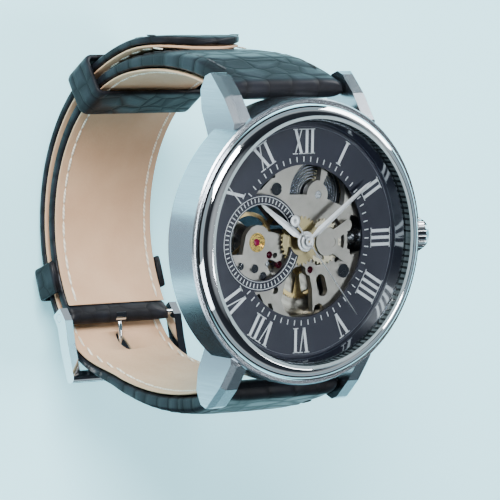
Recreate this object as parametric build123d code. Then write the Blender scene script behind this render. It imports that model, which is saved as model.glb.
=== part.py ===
from build123d import *
import math
import os

# Skeleton-dial wristwatch. Millimetres, +Z out of the dial, +Y to 12 o'clock, +X to the crown at 3 o'clock.
# The origin is the centre of the case back's outer face.

# Driving sizes of the case
case_radius = 21.0
wall_bottom = 3.0
wall_top = 8.94
dial_level = 7.4
dial_thick = 0.4
back_step = 2.1
back_crystal_radius = 14.8
back_thick = 0.9
fit_gap = 0.05
bezel_step = 0.7
bezel_rise = 1.6
bezel_slope = 1.8
gasket_wall = 0.45
crystal_edge = 1.0
crystal_dome = 0.35
rehaut_foot = 0.6
crystal_seat = 0.41

# Driving sizes of the lugs and the strap
lug_gap = 20.6
lug_width = 2.7
lug_reach = 3.4
bar_reach = 1.3
bar_level = 1.6
bar_radius = 0.75
bar_tip_radius = 0.4
strap_width = 20.0
strap_end_width = 18.4
strap_play = 0.45
keeper_play = 0.4
strap_thick = 3.0
strap_end_thick = 2.4
strap_eye = 1.6
lining_thick = 0.6
tail_thick = 2.0
loop_radius = 23.5
loop_level = -20.0
loop_join = 9.3
buckle_angle = 128.0
tail_lift = 1.1
tail_tip_angle = 190.0
keeper_angle = 35.0
keeper_width = 6.0
keeper_wall = 0.9
fixed_keeper_angle = 112.0
buckle_bar_radius = 0.6
frame_length = 9.0
frame_bar_radius = 1.0
frame_bar_rise = 2.9
hole_pitch = 6.5
hole_count = 7
hole_radius = 0.9

# Driving sizes of the movement
movement_radius = 15.4
plate_bottom = 5.3
plate_top = 6.3
bridge_bottom = 2.1
bridge_top = 2.9
aperture_radius = 11.2
sub_ring_centre = -7.5
sub_ring_outer = 7.1
sub_ring_inner = 5.5
hub_cut_radius = 2.2
barrel_x, barrel_y = 3.65, 6.6
barrel_teeth, centre_pinion_teeth = 48, 8
centre_teeth, third_pinion_teeth = 60, 8
third_teeth, fourth_pinion_teeth = 64, 8
fourth_teeth, escape_pinion_teeth = 80, 8
cannon_teeth, minute_teeth = 10, 30
minute_pinion_teeth, hour_teeth = 8, 32
third_distance, third_direction = 5.0, -62.0
escape_distance, escape_direction = 4.8, -135.0
minute_distance, minute_direction = 4.4, -4.0
fourth_arbor = 0.15
tube_bore = 0.2
tube_radius = 0.4
cannon_radius = 0.65
hour_pipe_radius = 0.95
stem_level = 5.0
stem_radius = 0.7
crown_radius = 2.7
crown_start = 0.5
crown_length = 2.7
ratchet_teeth, crown_wheel_teeth = 66, 48
winding_module = 0.15
winding_pinion_teeth, face_teeth = 16, 32
hour_angle, minute_angle, second_angle = 304.4, 54.0, 140.4
hour_hand_level = 8.15
minute_hand_level = 8.55
second_hand_level = 8.9
hand_thick = 0.15
balance_radius = 4.3

# Sizes worked out from those above
bore_radius = case_radius - 3.25
bezel_radius = case_radius - bezel_step
back_face_radius = case_radius - back_step
crystal_well = bezel_radius - bezel_slope
crystal_radius = crystal_well - gasket_wall
crystal_base = wall_top + crystal_seat
bezel_top = wall_top + bezel_rise
dial_radius = bore_radius - 0.1
dial_bottom = dial_level - dial_thick
rehaut_top = crystal_base
bar_y = case_radius + bar_reach
back_spigot = bore_radius + 0.4
ring_bottom = bridge_bottom + 0.5
centre_module = math.hypot(barrel_x, barrel_y) * 2 / (barrel_teeth + centre_pinion_teeth)
third_module = third_distance * 2 / (centre_teeth + third_pinion_teeth)
fourth_module = third_distance * 2 / (third_teeth + fourth_pinion_teeth)
escape_module = escape_distance * 2 / (fourth_teeth + escape_pinion_teeth)
motion_module = minute_distance * 2 / (cannon_teeth + minute_teeth)
ratchet_radius = winding_module * ratchet_teeth / 2
crown_wheel_radius = winding_module * crown_wheel_teeth / 2
crown_wheel_x = barrel_x + math.sqrt((ratchet_radius + crown_wheel_radius) ** 2 - barrel_y**2)


def at(distance, direction):
    """The point at that distance and direction (degrees from +X) from the dial's centre."""
    a = math.radians(direction)
    return distance * math.cos(a), distance * math.sin(a)


third_x, third_y = at(third_distance, third_direction)
escape_x, escape_y = at(escape_distance, escape_direction)
minute_x, minute_y = at(minute_distance, minute_direction)
pallet_x, pallet_y = -5.21, -1.9
pivots = [(third_x, third_y), (escape_x, escape_y)]
barrel_pillars = [(-4.6, 11.8), (12.3, 5.6), (11.2, -5.3)]
train_pillars = [(4.8, -11.6), (-8.4, -10.3)]
cock_pillar = (-12.6, 3.4)
dial_screw_places = [(-4.3, 7.7, 0.95), (8.4, -4.8, 1.05), (-10.6, -3.35, 0.55), (-8.05, -3.8, 0.65),
                     (-6.5, -4.9, 0.6)]


def disc(radius, low, high, x=0.0, y=0.0):
    return Pos(x, y, low) * Cylinder(radius, high - low, align=(Align.CENTER, Align.CENTER, Align.MIN))


def ring(outer, inner, low, high, x=0.0, y=0.0):
    return disc(outer, low, high, x, y) - disc(inner, low - 1, high + 1, x, y)


def turned(points):
    """A solid of revolution about Z from (radius, height) points."""
    face = make_face(Plane.XZ * Polyline(*points, close=True))
    return revolve(face, Axis.Z)


def slab(points, low, high, corner=0.0):
    """A flat plate with that outline, its corners rounded."""
    face = make_face(Polyline(*points, close=True))
    if corner > 0:
        face = fillet(face.vertices(), corner)
    return Pos(0, 0, low) * extrude(face, high - low)


def bar(start, end, half_width, low, high):
    """A straight arm with round ends from one point to the other."""
    length = math.dist(start, end)
    angle = math.degrees(math.atan2(end[1] - start[1], end[0] - start[0]))
    middle = ((start[0] + end[0]) / 2, (start[1] + end[1]) / 2)
    outline = SlotCenterToCenter(length, 2 * half_width)
    return Pos(middle[0], middle[1], low) * Rot(0, 0, angle) * extrude(outline, high - low)


def sector(outer, inner, start, end, low, high, x=0.0, y=0.0):
    """Part of a ring, from one direction to another in degrees."""
    reach = 2.2 * outer
    steps = max(2, math.ceil((end - start) / 40))
    fan = [(0, 0)]
    for i in range(steps + 1):
        a = math.radians(start + (end - start) * i / steps)
        fan.append((reach * math.cos(a), reach * math.sin(a)))
    wedge = Pos(x, y, 0) * slab(fan, low, high)
    return ring(outer, inner, low, high, x, y) & wedge


def gear(teeth, module, low, high, x=0.0, y=0.0, toward=0.0, gap=False, bore=0.0, spokes=0):
    """A toothed wheel with a tooth, or a gap, facing the direction given in degrees."""
    pitch_radius = teeth * module / 2
    root, tip = pitch_radius - 0.95 * module, pitch_radius + 0.65 * module
    pitch = 2 * math.pi / teeth
    first = math.radians(toward) + (pitch / 2 if gap else 0)
    outline = []
    for k in range(teeth):
        for radius, share in ((root, -0.27), (tip, -0.11), (tip, 0.11), (root, 0.27)):
            a = first + (k + share) * pitch
            outline.append((radius * math.cos(a), radius * math.sin(a)))
    wheel = slab(outline, low, high)
    if bore > 0:
        wheel -= disc(bore, low - 1, high + 1)
    if spokes > 0:
        for k in range(spokes):
            start = 360 * k / spokes
            wheel -= sector(root - 0.5, 1.0, start + 12, start + 360 / spokes - 12, low - 0.1, high + 0.1)
    return Pos(x, y, 0) * wheel


def bearing_direction(from_x, from_y, to_x, to_y):
    return math.degrees(math.atan2(to_y - from_y, to_x - from_x))


# ---------------------------------------------------------------- case
def make_case_middle():
    """The mid-case: a straight band that turns in below, four lugs, a bore, and holes for tube and bars."""
    edge, foot = 0.2, back_face_radius + 0.5
    profile = [
        (bore_radius, back_thick), (foot, back_thick), (foot + 0.5, back_thick + 0.5),
        (case_radius - 0.5, wall_bottom - 0.6), (case_radius, wall_bottom),
        (case_radius, wall_top - edge), (case_radius - edge, wall_top), (bore_radius, wall_top),
    ]
    case = turned(profile)
    top, tip = case_radius - 3.4, case_radius + lug_reach
    side = [
        (case_radius - 8.5, wall_top - 0.9), (top, wall_top - 0.55), (tip - 3.0, wall_top - 3.2),
        (tip - 0.3, bar_level + 1.5), (tip + 0.15, bar_level + 0.3), (tip - 0.4, bar_level - 1.1),
        (tip - 2.4, bar_level - 2.2), (case_radius - 2.0, bar_level - 1.9),
        (case_radius - 5.5, back_thick + 0.4), (case_radius - 8.5, back_thick + 1.2),
    ]
    outline = make_face(Plane.YZ * Polyline(*side, close=True))
    lug = extrude(outline, lug_width, dir=(1, 0, 0))
    lug = fillet(lug.edges().filter_by(Axis.X).group_by(Axis.Y)[-1], 0.3)
    ridge = lug.edges().filter_by(lambda e: abs(e.center().X - lug_width) < 0.01 and e.center().Z > bar_level + 1)
    lug = chamfer(ridge, 0.7)
    bore = Cylinder(bore_radius, 30)
    for side_x in (1, -1):
        for side_y in (1, -1):
            one = Pos(lug_gap / 2, 0, 0) * lug
            one = one if side_x > 0 else mirror(one, Plane.YZ)
            one = one if side_y > 0 else mirror(one, Plane.XZ)
            case += one - bore
    for side_y in (1, -1):
        case -= Pos(0, side_y * bar_y, bar_level) * Rot(0, 90, 0) * Cylinder(bar_tip_radius + fit_gap, lug_gap + 3.2)
    case -= Pos(case_radius, 0, stem_level) * Rot(0, 90, 0) * Cylinder(1.5, 8)
    case -= ring(back_face_radius - 0.05, back_face_radius - 0.45, back_thick - 1, back_thick + 0.4)
    case -= ring(back_spigot, bore_radius - 1, back_thick - 1, 2.15)
    return case


def make_case_back():
    """The snap back: a flat ring round the back crystal, with a spigot up into the mid-case."""
    flange = ring(back_face_radius, back_crystal_radius + fit_gap, 0, back_thick)
    flange = chamfer(flange.edges().group_by(Axis.Z)[0].sort_by(SortBy.LENGTH)[-1], 0.25)
    flange -= disc(back_crystal_radius + 1, 0.4, back_thick + 1)
    spigot = ring(back_spigot - fit_gap, back_crystal_radius + 1, back_thick, 2.1)
    return flange + spigot


def make_back_crystal():
    """A stepped mineral glass, flush with the back ring."""
    return disc(back_crystal_radius, 0, 0.4) + disc(back_crystal_radius + 0.95, 0.4, 1.4)


def make_back_gasket():
    return ring(back_face_radius - 0.1, back_face_radius - 0.4, back_thick, back_thick + 0.35)


def make_bezel():
    """A polished ring with a low upright foot and a gently crowned slope up to the crystal."""
    foot, lip = 0.32, 0.08
    with BuildPart() as part:
        with BuildSketch(Plane.XZ):
            with BuildLine():
                inner = bore_radius + 0.15
                a = (inner, wall_top)
                b = (bezel_radius, wall_top)
                c = (bezel_radius, wall_top + foot)
                d = (crystal_well + 0.1, bezel_top)
                middle = ((c[0] + d[0]) / 2 + 0.16, (c[1] + d[1]) / 2 + 0.22)
                Polyline(a, b, c)
                ThreePointArc(c, middle, d)
                Polyline(d, (crystal_well, bezel_top - lip), (crystal_well, crystal_base), (inner, crystal_base), a)
            make_face()
        revolve(axis=Axis.Z)
    return part.part


def make_gasket():
    return ring(crystal_well, crystal_radius, crystal_base, bezel_top - 0.05)


def make_crystal():
    """The watch glass: flat below, bevelled at the rim, with a low dome above."""
    rim = crystal_base + crystal_edge
    shoulder, shoulder_level = crystal_radius - 0.4, rim + 0.12
    top = shoulder_level + crystal_dome
    blank = turned([
        (0, crystal_base), (crystal_radius, crystal_base), (crystal_radius, rim),
        (shoulder, shoulder_level), (shoulder - 0.05, top + 0.1), (0, top + 0.1),
    ])
    ball_radius = (shoulder**2 + crystal_dome**2) / (2 * crystal_dome)
    return blank & Pos(0, 0, top - ball_radius) * Sphere(ball_radius)


def make_rehaut():
    """The polished inner flange between the dial's edge and the crystal."""
    outer = bore_radius - fit_gap
    inner_top = outer - 0.15
    profile = [(outer, dial_level), (outer, rehaut_top), (inner_top, rehaut_top), (outer - rehaut_foot, dial_level)]
    return turned(profile)


def make_movement_ring():
    """The plastic casing ring that centres the movement and carries the dial."""
    part = ring(bore_radius - fit_gap, movement_radius + fit_gap, ring_bottom, dial_bottom)
    part -= Pos(movement_radius + 1, 0, stem_level) * Rot(0, 90, 0) * Cylinder(1.6, 6)
    for angle in (100, 260):
        x, y = at(movement_radius + 1.15, angle)
        part -= disc(0.45, 1, 4.5, x, y)
    return part


def make_case_screws():
    """Two slotted screws in the casing ring."""
    part = Part()
    for angle in (100, 260):
        x, y = at(movement_radius + 1.15, angle)
        head = disc(1.0, ring_bottom - 0.3, ring_bottom, x, y)
        part += head - Pos(x, y, ring_bottom - 0.3) * Box(2.2, 0.2, 0.24)
        part += disc(0.45, ring_bottom, 4.5, x, y)
    return part


def make_crown_tube():
    return Pos((case_radius - 3.3 + case_radius + 1.0) / 2, 0, stem_level) * Rot(0, 90, 0) * (
        Cylinder(1.5, 4.3) - Cylinder(1.05, 6))


# ---------------------------------------------------------------- crown and keyless works
def along_stem(radius, start, end, bore=0.0):
    part = Cylinder(radius, end - start)
    if bore > 0:
        part -= Cylinder(bore, end - start + 1)
    return Pos((start + end) / 2, 0, stem_level) * Rot(0, 90, 0) * part


def make_crown():
    """A fluted crown with a rounded outer face, bored to slide over its tube."""
    start = case_radius + crown_start
    end = start + crown_length
    part = along_stem(crown_radius, start, end)
    outer = part.edges().filter_by(GeomType.CIRCLE).sort_by(Axis.X)[-1]
    part = chamfer(outer, 0.9, 0.45)
    flutes = 22
    for k in range(flutes):
        a = 360 * k / flutes
        cut = Pos((start + end) / 2 - 0.6, 0, stem_level) * Rot(a, 0, 0) * Pos(0, 0, crown_radius + 0.06)
        part -= cut * Rot(0, 90, 0) * Cylinder(0.2, crown_length)
    part -= along_stem(1.9, start - 1, start + 1.0)
    part -= along_stem(stem_radius - 0.1, start, start + 2.0)
    return part


def make_crown_gasket():
    start = case_radius + crown_start
    return along_stem(1.9, start + 0.1, start + 0.45, bore=1.55)


def make_stem():
    """The winding stem: a thin pilot, a keyed waist for the clutch, a shoulder and a threaded tail."""
    start = case_radius + crown_start
    part = along_stem(0.35, 8.3, 9.3) + along_stem(0.5, 9.3, 11.5)
    part += along_stem(stem_radius, 11.5, case_radius - 2)
    part += along_stem(stem_radius - 0.1, case_radius - 2, start + 2.0)
    return part


def crown_teeth(radius, x, count, depth):
    """A ring of face teeth standing out along the stem's axis."""
    part = Part()
    for k in range(count):
        tooth = Pos(x, 0, stem_level) * Rot(360 * k / count, 0, 0) * Pos(0, 0, radius)
        part += tooth * Box(depth, 0.16, 0.35)
    return part


def make_clutch():
    """The sliding clutch: face teeth at both ends and a waist for the yoke."""
    part = along_stem(1.0, 9.7, 10.2) + along_stem(0.75, 10.2, 10.7) + along_stem(1.0, 10.7, 11.3)
    part += crown_teeth(0.8, 9.65, 12, 0.2)
    part -= along_stem(0.5 + fit_gap, 9, 12)
    return part


def make_winding_pinion():
    """A spur wheel on the stem whose teeth run in the crown wheel's face teeth."""
    tip, root = 1.45, 1.2
    part = along_stem(root, 11.9, 12.7)
    for k in range(winding_pinion_teeth):
        tooth = Rot(360 * (k + 0.5) / winding_pinion_teeth, 0, 0) * Pos(0, 0, (root + tip) / 2 - 0.05)
        part += Pos(12.3, 0, stem_level) * tooth * Box(0.8, 0.16, tip - root + 0.1)
    part += along_stem(0.95, 11.5, 11.9)
    part -= along_stem(stem_radius + 0.05, 11, 13)
    return part


def make_crown_wheel():
    """A cup-shaped crown wheel: spur teeth on the back, face teeth up against the winding pinion."""
    toward = bearing_direction(crown_wheel_x, 0, barrel_x, barrel_y)
    wheel = gear(crown_wheel_teeth, winding_module, 1.65, 1.95, crown_wheel_x, 0, toward, gap=True)
    wheel += ring(3.3, 2.9, 1.95, 3.3, crown_wheel_x, 0)
    for k in range(face_teeth):
        a = 360 * k / face_teeth
        wheel += Pos(crown_wheel_x, 0, 3.475) * Rot(0, 0, a) * Pos(3.1, 0, 0) * Box(0.36, 0.17, 0.41)
    wheel -= disc(0.85, 1, 2.5, crown_wheel_x, 0)
    return wheel


def make_ratchet_wheel():
    toward = bearing_direction(barrel_x, barrel_y, crown_wheel_x, 0)
    wheel = gear(ratchet_teeth, winding_module, 1.65, 1.95, barrel_x, barrel_y, toward)
    return wheel - Pos(barrel_x, barrel_y, 1.8) * Box(1.1, 1.1, 1)


def make_barrel_arbor():
    """The barrel arbor: square for the ratchet wheel, two pivots and a core for the mainspring."""
    x, y = barrel_x, barrel_y
    square = Pos(x, y, 1.875) * Box(1.1, 1.1, 0.45)
    part = square + disc(0.8, 2.1, bridge_top + 0.1, x, y) + disc(1.0, bridge_top + 0.1, 4.1, x, y)
    part += disc(1.3, 4.1, 4.98, x, y) + disc(0.55, 4.98, plate_top - 0.05, x, y)
    part -= Pos(x, y, plate_top) * Box(1.2, 0.16, 0.3)
    return part


def make_click():
    """The ratchet's click: a round eye with a pointed beak that stops just outside the ratchet's teeth."""
    eye = at(6.7, 150)
    beak = at(ratchet_radius + 0.16, 136)
    root = at(6.1, 141)
    outline = [(barrel_x + p[0], barrel_y + p[1]) for p in (at(7.2, 146), root, beak, at(5.7, 146), at(6.1, 152))]
    part = slab(outline, 1.65, 1.95) + disc(0.75, 1.65, 1.95, barrel_x + eye[0], barrel_y + eye[1])
    return part - disc(0.4, 1, 2.5, barrel_x + eye[0], barrel_y + eye[1])


def make_click_spring():
    """A bent wire spring that lies behind the click, held in the barrel bridge."""
    part = sector(7.75, 7.55, 120, 146, 1.65, 1.85, barrel_x, barrel_y)
    foot = at(7.65, 119)
    return part + disc(0.4, 1.65, 2.1, barrel_x + foot[0], barrel_y + foot[1])


# ---------------------------------------------------------------- barrel and train
def make_barrel():
    """The going barrel: floor, wall and a toothed flange."""
    toward = bearing_direction(barrel_x, barrel_y, 0, 0)
    flange = gear(barrel_teeth, centre_module, 3.8, 4.1, barrel_x, barrel_y, toward, gap=True)
    wall = ring(5.9, 5.45, 4.1, 5.0, barrel_x, barrel_y)
    return flange + wall - disc(1.05, 3, 6, barrel_x, barrel_y)


def make_barrel_cover():
    """A narrow open cover ring, so that the mainspring shows."""
    return ring(5.9, 5.1, 5.0, 5.15, barrel_x, barrel_y)


def spiral(inner, outer, turns, wall, low, high, x, y, start=0.0):
    """A flat spiral strip of even pitch."""
    steps = int(turns * 20)
    near, far = [], []
    for i in range(steps + 1):
        a = 2 * math.pi * turns * i / steps + start
        r = inner + (outer - inner) * i / steps
        near.append((x + (r - wall / 2) * math.cos(a), y + (r - wall / 2) * math.sin(a)))
        far.append((x + (r + wall / 2) * math.cos(a), y + (r + wall / 2) * math.sin(a)))
    face = make_face([Spline(*near), Spline(*far), Line(near[0], far[0]), Line(near[-1], far[-1])])
    return Pos(0, 0, low) * extrude(face, high - low)


def make_mainspring():
    return spiral(1.45, 5.3, 9, 0.16, 4.15, 4.95, barrel_x, barrel_y)


def make_centre_wheel():
    """The centre wheel and pinion on their hollow arbor, which carries the cannon pinion."""
    to_barrel = bearing_direction(0, 0, barrel_x, barrel_y)
    part = gear(centre_teeth, third_module, 3.5, 3.64, 0, 0, third_direction, spokes=4)
    part += gear(centre_pinion_teeth, centre_module, 3.75, 5.1, 0, 0, to_barrel)
    part += disc(0.6, 3.64, 3.75) + disc(tube_radius, 5.1, 6.95)
    return part - disc(tube_bore, 3, 9)


def make_third_wheel():
    x, y = third_x, third_y
    part = gear(third_teeth, fourth_module, 3.22, 3.34, x, y, third_direction + 180, spokes=4)
    part += gear(third_pinion_teeth, third_module, 3.34, 3.7, x, y, third_direction + 180, gap=True)
    return part + disc(0.15, 2.3, 5.85, x, y)


def make_fourth_wheel():
    """The centre-seconds wheel; its long arbor runs up through the hollow centre arbor."""
    part = gear(fourth_teeth, escape_module, 3.0, 3.12, 0, 0, escape_direction, spokes=4)
    part += gear(fourth_pinion_teeth, fourth_module, 3.12, 3.4, 0, 0, third_direction, gap=True)
    return part + disc(fourth_arbor, 2.3, second_hand_level + hand_thick)


def make_escape_wheel():
    """Fifteen long teeth with a pointed, raked face, and the escape pinion."""
    x, y = escape_x, escape_y
    part = gear(escape_pinion_teeth, escape_module, 2.95, 3.3, x, y, escape_direction + 180, gap=True)
    part += disc(0.15, 2.3, 5.85, x, y)
    outline = []
    for k in range(15):
        for radius, share in ((1.45, -0.45), (1.45, -0.1), (1.95, 0.12), (2.0, 0.28), (1.5, 0.1)):
            a = 2 * math.pi * (k + share) / 15
            outline.append((radius * math.cos(a), radius * math.sin(a)))
    wheel = slab(outline, 4.85, 5.0)
    for k in range(4):
        wheel -= sector(1.15, 0.4, 90 * k + 14, 90 * k + 76, 4.8, 5.1)
    return part + Pos(x, y, 0) * wheel


def make_pallet_fork():
    """The lever: two arms with pallet stones beside the escape wheel and a fork toward the balance."""
    to_wheel = bearing_direction(pallet_x, pallet_y, escape_x, escape_y)
    to_balance = bearing_direction(pallet_x, pallet_y, sub_ring_centre, 0)
    fork = slab([(-0.25, 0.22), (1.75, 0.1), (1.95, 0.28), (2.2, 0.26), (2.08, 0.08),
                 (2.08, -0.08), (2.2, -0.26), (1.95, -0.28), (1.75, -0.1), (-0.25, -0.22)], 4.85, 5.0)
    part = Pos(pallet_x, pallet_y, 0) * Rot(0, 0, to_balance) * fork
    for turn in (75, -75):
        a = math.radians(to_wheel + turn)
        end = (pallet_x + 1.4 * math.cos(a), pallet_y + 1.4 * math.sin(a))
        part += bar((pallet_x, pallet_y), end, 0.16, 4.85, 5.0)
    return part + disc(0.12, 4.5, 5.85, pallet_x, pallet_y)


def make_balance():
    """The balance: rim, two arms, staff, and a roller whose pin stands on the side away from the fork."""
    x = sub_ring_centre
    part = ring(balance_radius, balance_radius - 0.55, 3.85, 4.25, x, 0)
    part += Pos(x, 0, 3.98) * Rot(0, 0, 35) * Box(2 * balance_radius - 0.6, 0.6, 0.2)
    part += disc(0.55, 3.8, 4.3, x, 0) + disc(0.14, 2.3, 5.7, x, 0)
    part += disc(0.6, 4.78, 4.9, x, 0) + disc(0.35, 4.3, 5.0, x, 0)
    away = math.radians(bearing_direction(pallet_x, pallet_y, x, 0))
    return part + disc(0.1, 4.78, 5.0, x + 0.48 * math.cos(away), 0.48 * math.sin(away))


def make_hairspring():
    return spiral(0.62, 2.3, 8, 0.07, 3.55, 3.7, sub_ring_centre, 0) + ring(0.62, 0.14, 3.5, 3.75, sub_ring_centre, 0)


# ---------------------------------------------------------------- motion works and hands
def make_cannon_pinion():
    part = gear(cannon_teeth, motion_module, 6.4, 6.64, 0, 0, minute_direction)
    part += disc(cannon_radius, 6.64, minute_hand_level + hand_thick)
    part -= disc(tube_radius, 6, 6.95)
    return part - disc(tube_bore + 0.05, 6.5, 9)


def make_minute_wheel():
    x, y = minute_x, minute_y
    toward = minute_direction + 180
    part = gear(minute_teeth, motion_module, 6.42, 6.6, x, y, toward, gap=True, spokes=5)
    part += gear(minute_pinion_teeth, motion_module, 6.6, 6.95, x, y, toward, gap=True)
    return part - disc(0.35, 6, 7.5, x, y)


def make_hour_wheel():
    part = gear(hour_teeth, motion_module, 6.72, 6.92, 0, 0, minute_direction)
    part += disc(hour_pipe_radius, 6.92, hour_hand_level + hand_thick)
    return part - disc(cannon_radius + fit_gap, 6, 9)


def hand(angle, level, points, hub, bore):
    """A flat hand along +Y from its (half width, distance) outline, turned clockwise to its angle."""
    outline = points + [(-w, d) for w, d in reversed(points) if w > 0]
    blade = slab(outline, level, level + hand_thick) + disc(hub, level, level + hand_thick)
    return Rot(0, 0, -angle) * (blade - disc(bore, level - 1, level + 1))


def make_hour_hand():
    points = [(0.22, 1.0), (0.5, 2.1), (0.62, 2.5), (0.3, 9.3), (0.0, 10.1)]
    return hand(hour_angle, hour_hand_level, points, 1.45, hour_pipe_radius)


def make_minute_hand():
    points = [(0.2, 0.7), (0.42, 2.2), (0.52, 2.6), (0.26, 13.3), (0.0, 14.4)]
    return hand(minute_angle, minute_hand_level, points, 1.1, cannon_radius)


def make_second_hand():
    """A fine needle with a disc counterweight."""
    needle = [(0.16, -3.6), (0.14, 0.0), (0.05, 14.0), (0.0, 14.4)]
    part = hand(second_angle, second_hand_level, needle, 0.55, fourth_arbor)
    x, y = at(4.05, 270 - second_angle)
    return part + disc(0.85, second_hand_level, second_hand_level + hand_thick, x, y)


# ---------------------------------------------------------------- plates, bridges and jewels
def make_dial():
    """The dial: an outer ring, and a small ring round the balance that is cut clear of the hands' hub."""
    spot = Pos(sub_ring_centre, 0)
    face = Circle(dial_radius) - Circle(aperture_radius) + spot * Circle(sub_ring_outer)
    face -= spot * Circle(sub_ring_inner)
    face -= Circle(hub_cut_radius)
    part = Pos(0, 0, dial_bottom) * extrude(face, dial_thick)
    for angle in (78, 282):
        x, y = at(aperture_radius + 1.8, angle)
        part += disc(0.4, plate_top - 0.6, dial_bottom, x, y)
    return part


def make_mainplate():
    """The skeleton mainplate: windows over the barrel, the balance and the lower train."""
    low, high = plate_bottom, plate_top
    part = disc(movement_radius, low, high)
    bottom, top = low - 1, high + 1
    part -= sector(5.35, 2.1, 82, 178, bottom, top, barrel_x, barrel_y)
    part -= sector(5.0, 1.75, -22, 62, bottom, top, barrel_x, barrel_y)
    # balance opening, with the island that carries the shock setting left standing
    x = sub_ring_centre
    opening = disc(5.7, bottom, top, x, 0) & slab([(-14, -1.7), (-14, 6), (-1, 6), (-1, -1.7)], bottom, top)
    island = disc(2.3, bottom, top, x + 0.15, 0.2)
    island += slab([(x - 2.0, 1.2), (x - 2.7, -2.2), (x + 5.0, -2.2), (x + 4.4, 1.0), (x + 2.3, 1.5)], bottom, top)
    part -= opening - island
    part -= slab([(-6.1, -3.2), (-5.3, -2.4), (-3.1, -3.4), (-4.5, -5.1)], bottom, top, 0.3)
    # arch over the lower train, and the inclined slot beside it
    part -= slab([(-2.9, -8.6), (-2.1, -5.6), (-0.6, -4.0), (0.9, -3.6), (2.1, -4.6), (2.8, -7.2),
                  (3.0, -11.0), (-0.8, -11.2), (-2.3, -10.3)], bottom, top, 0.5)
    part += disc(0.85, low, high, third_x, third_y)
    part -= bar((4.35, -6.0), (4.8, -7.6), 0.85, bottom, top)
    # crescents round the click and the minute wheel
    part -= sector(7.1, 6.3, 196, 232, bottom, top, barrel_x, barrel_y)
    part -= sector(4.3, 3.7, -50, 62, bottom, top, minute_x, minute_y)
    # openings at the rim
    part -= slab([(9.7, -2.6), (9.6, 3.6), (14.0, 2.2), (14.0, -1.7)], bottom, top, 0.4)
    part -= slab([(-6.9, -7.4), (-6.1, -9.0), (-4.7, -9.0), (-4.3, -10.0), (-4.6, -11.4), (-8.8, -8.6)], bottom, top, 0.2)
    part -= slab([(-4.4, 9.3), (-5.0, 9.3), (-7.0, 7.6), (-8.4, 8.4), (-4.2, 11.2)], bottom, top, 0.2)
    part -= disc(0.95, bottom, top, 4.1, -10.4)
    for hx, hy, r in ((3.7, -3.3, 0.5), (-4.1, -7.1, 0.6), (6.9, 2.5, 0.6), (-4.2, -2.0, 0.42)):
        part -= disc(r, bottom, top, hx, hy)
    # bores for arbors, jewels and screws
    part -= disc(0.46, bottom, top)
    part -= disc(0.6, bottom, top, barrel_x, barrel_y)
    for px, py in pivots + [(pallet_x, pallet_y)]:
        part -= disc(0.55, bottom, top, px, py)
    part -= disc(1.42, bottom, top, x, 0)
    for sx, sy, r in dial_screw_places:
        part -= disc(r * 0.55, bottom, top, sx, sy)
    for angle in (78, 282):
        px, py = at(aperture_radius + 1.8, angle)
        part -= disc(0.4, bottom, top, px, py)
    # room for the keyless works
    part -= Pos(11.25, 0, stem_level) * Box(4.0, 3.3, 3.1)
    part -= along_stem(stem_radius + fit_gap, 13, 16) + along_stem(0.4, 7.8, 9.8)
    return part


def screw_head(x, y, radius, low, turn=0.0):
    """A flat slotted head."""
    slot = Pos(x, y, low + 0.3) * Rot(0, 0, turn) * Box(2 * radius + 0.2, 0.2, 0.26)
    return disc(radius, low, low + 0.3, x, y) - slot


def make_dial_screws():
    part = Part()
    for i, (x, y, r) in enumerate(dial_screw_places):
        part += screw_head(x, y, r, plate_top, 35 * i) + disc(r * 0.55, plate_bottom, plate_top, x, y)
    return part


def make_minute_bridge():
    """The thin cover over the minute wheel, on two pillars, with a post for the wheel."""
    outline = bar((minute_x, minute_y), (8.55, 2.0), 0.8, 7.0, 7.2)
    outline += bar((minute_x, minute_y), (8.4, -2.7), 0.8, 7.0, 7.2)
    outline += disc(2.1, 7.0, 7.2, minute_x + 0.4, minute_y)
    part = outline + disc(0.3, plate_top, 7.0, minute_x, minute_y)
    for x, y in ((8.55, 2.0), (8.4, -2.7)):
        part += disc(0.5, plate_top, 7.0, x, y)
    return part - disc(0.7, 7.1, 8, minute_x + 1.3, minute_y - 0.1)


def make_barrel_bridge():
    """The bridge over the barrel and the crown wheel, seen through the back."""
    low, high = bridge_bottom, bridge_top
    outline = [(-8.0, 14.5), (-6.2, 7.0), (-1.8, 2.0), (4.6, 2.0), (4.6, -4.8),
               (9.8, -4.8), (9.8, -7.0), (16.0, -7.0), (16.0, 8.5), (6.0, 16.0)]
    part = slab(outline, low, high) & disc(movement_radius - 0.1, low, high)
    part -= ring(3.75, 2.5, low - 1, high + 1, crown_wheel_x, 0)
    part += disc(0.8, 1.7, low, crown_wheel_x, 0) + disc(1.0, high, 3.9, crown_wheel_x, 0)
    part += bar((crown_wheel_x, 0), barrel_pillars[2], 0.5, 3.74, 3.9)
    part -= disc(0.85, low - 1, high + 2, barrel_x, barrel_y)
    for x, y in barrel_pillars:
        part += disc(1.1, high, plate_bottom, x, y)
    eye = at(6.7, 150)
    return part + disc(0.35, 1.7, low, barrel_x + eye[0], barrel_y + eye[1])


def make_train_bridge():
    """The bridge that carries the back pivots of the fourth, third and escape wheels."""
    low, high = bridge_bottom, bridge_top
    outline = [(-2.2, 1.5), (4.2, 1.5), (4.2, -5.2), (7.4, -5.6),
               (9.6, -11.0), (1.0, -16.0), (-11.0, -12.0), (-7.6, -6.4)]
    part = slab(outline, low, high) & disc(movement_radius - 0.1, low, high)
    part -= disc(0.55, low - 1, high + 1)
    for x, y in pivots:
        part -= disc(0.55, low - 1, high + 1, x, y)
    for x, y in train_pillars:
        part += disc(1.1, high, plate_bottom, x, y)
    return part


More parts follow.
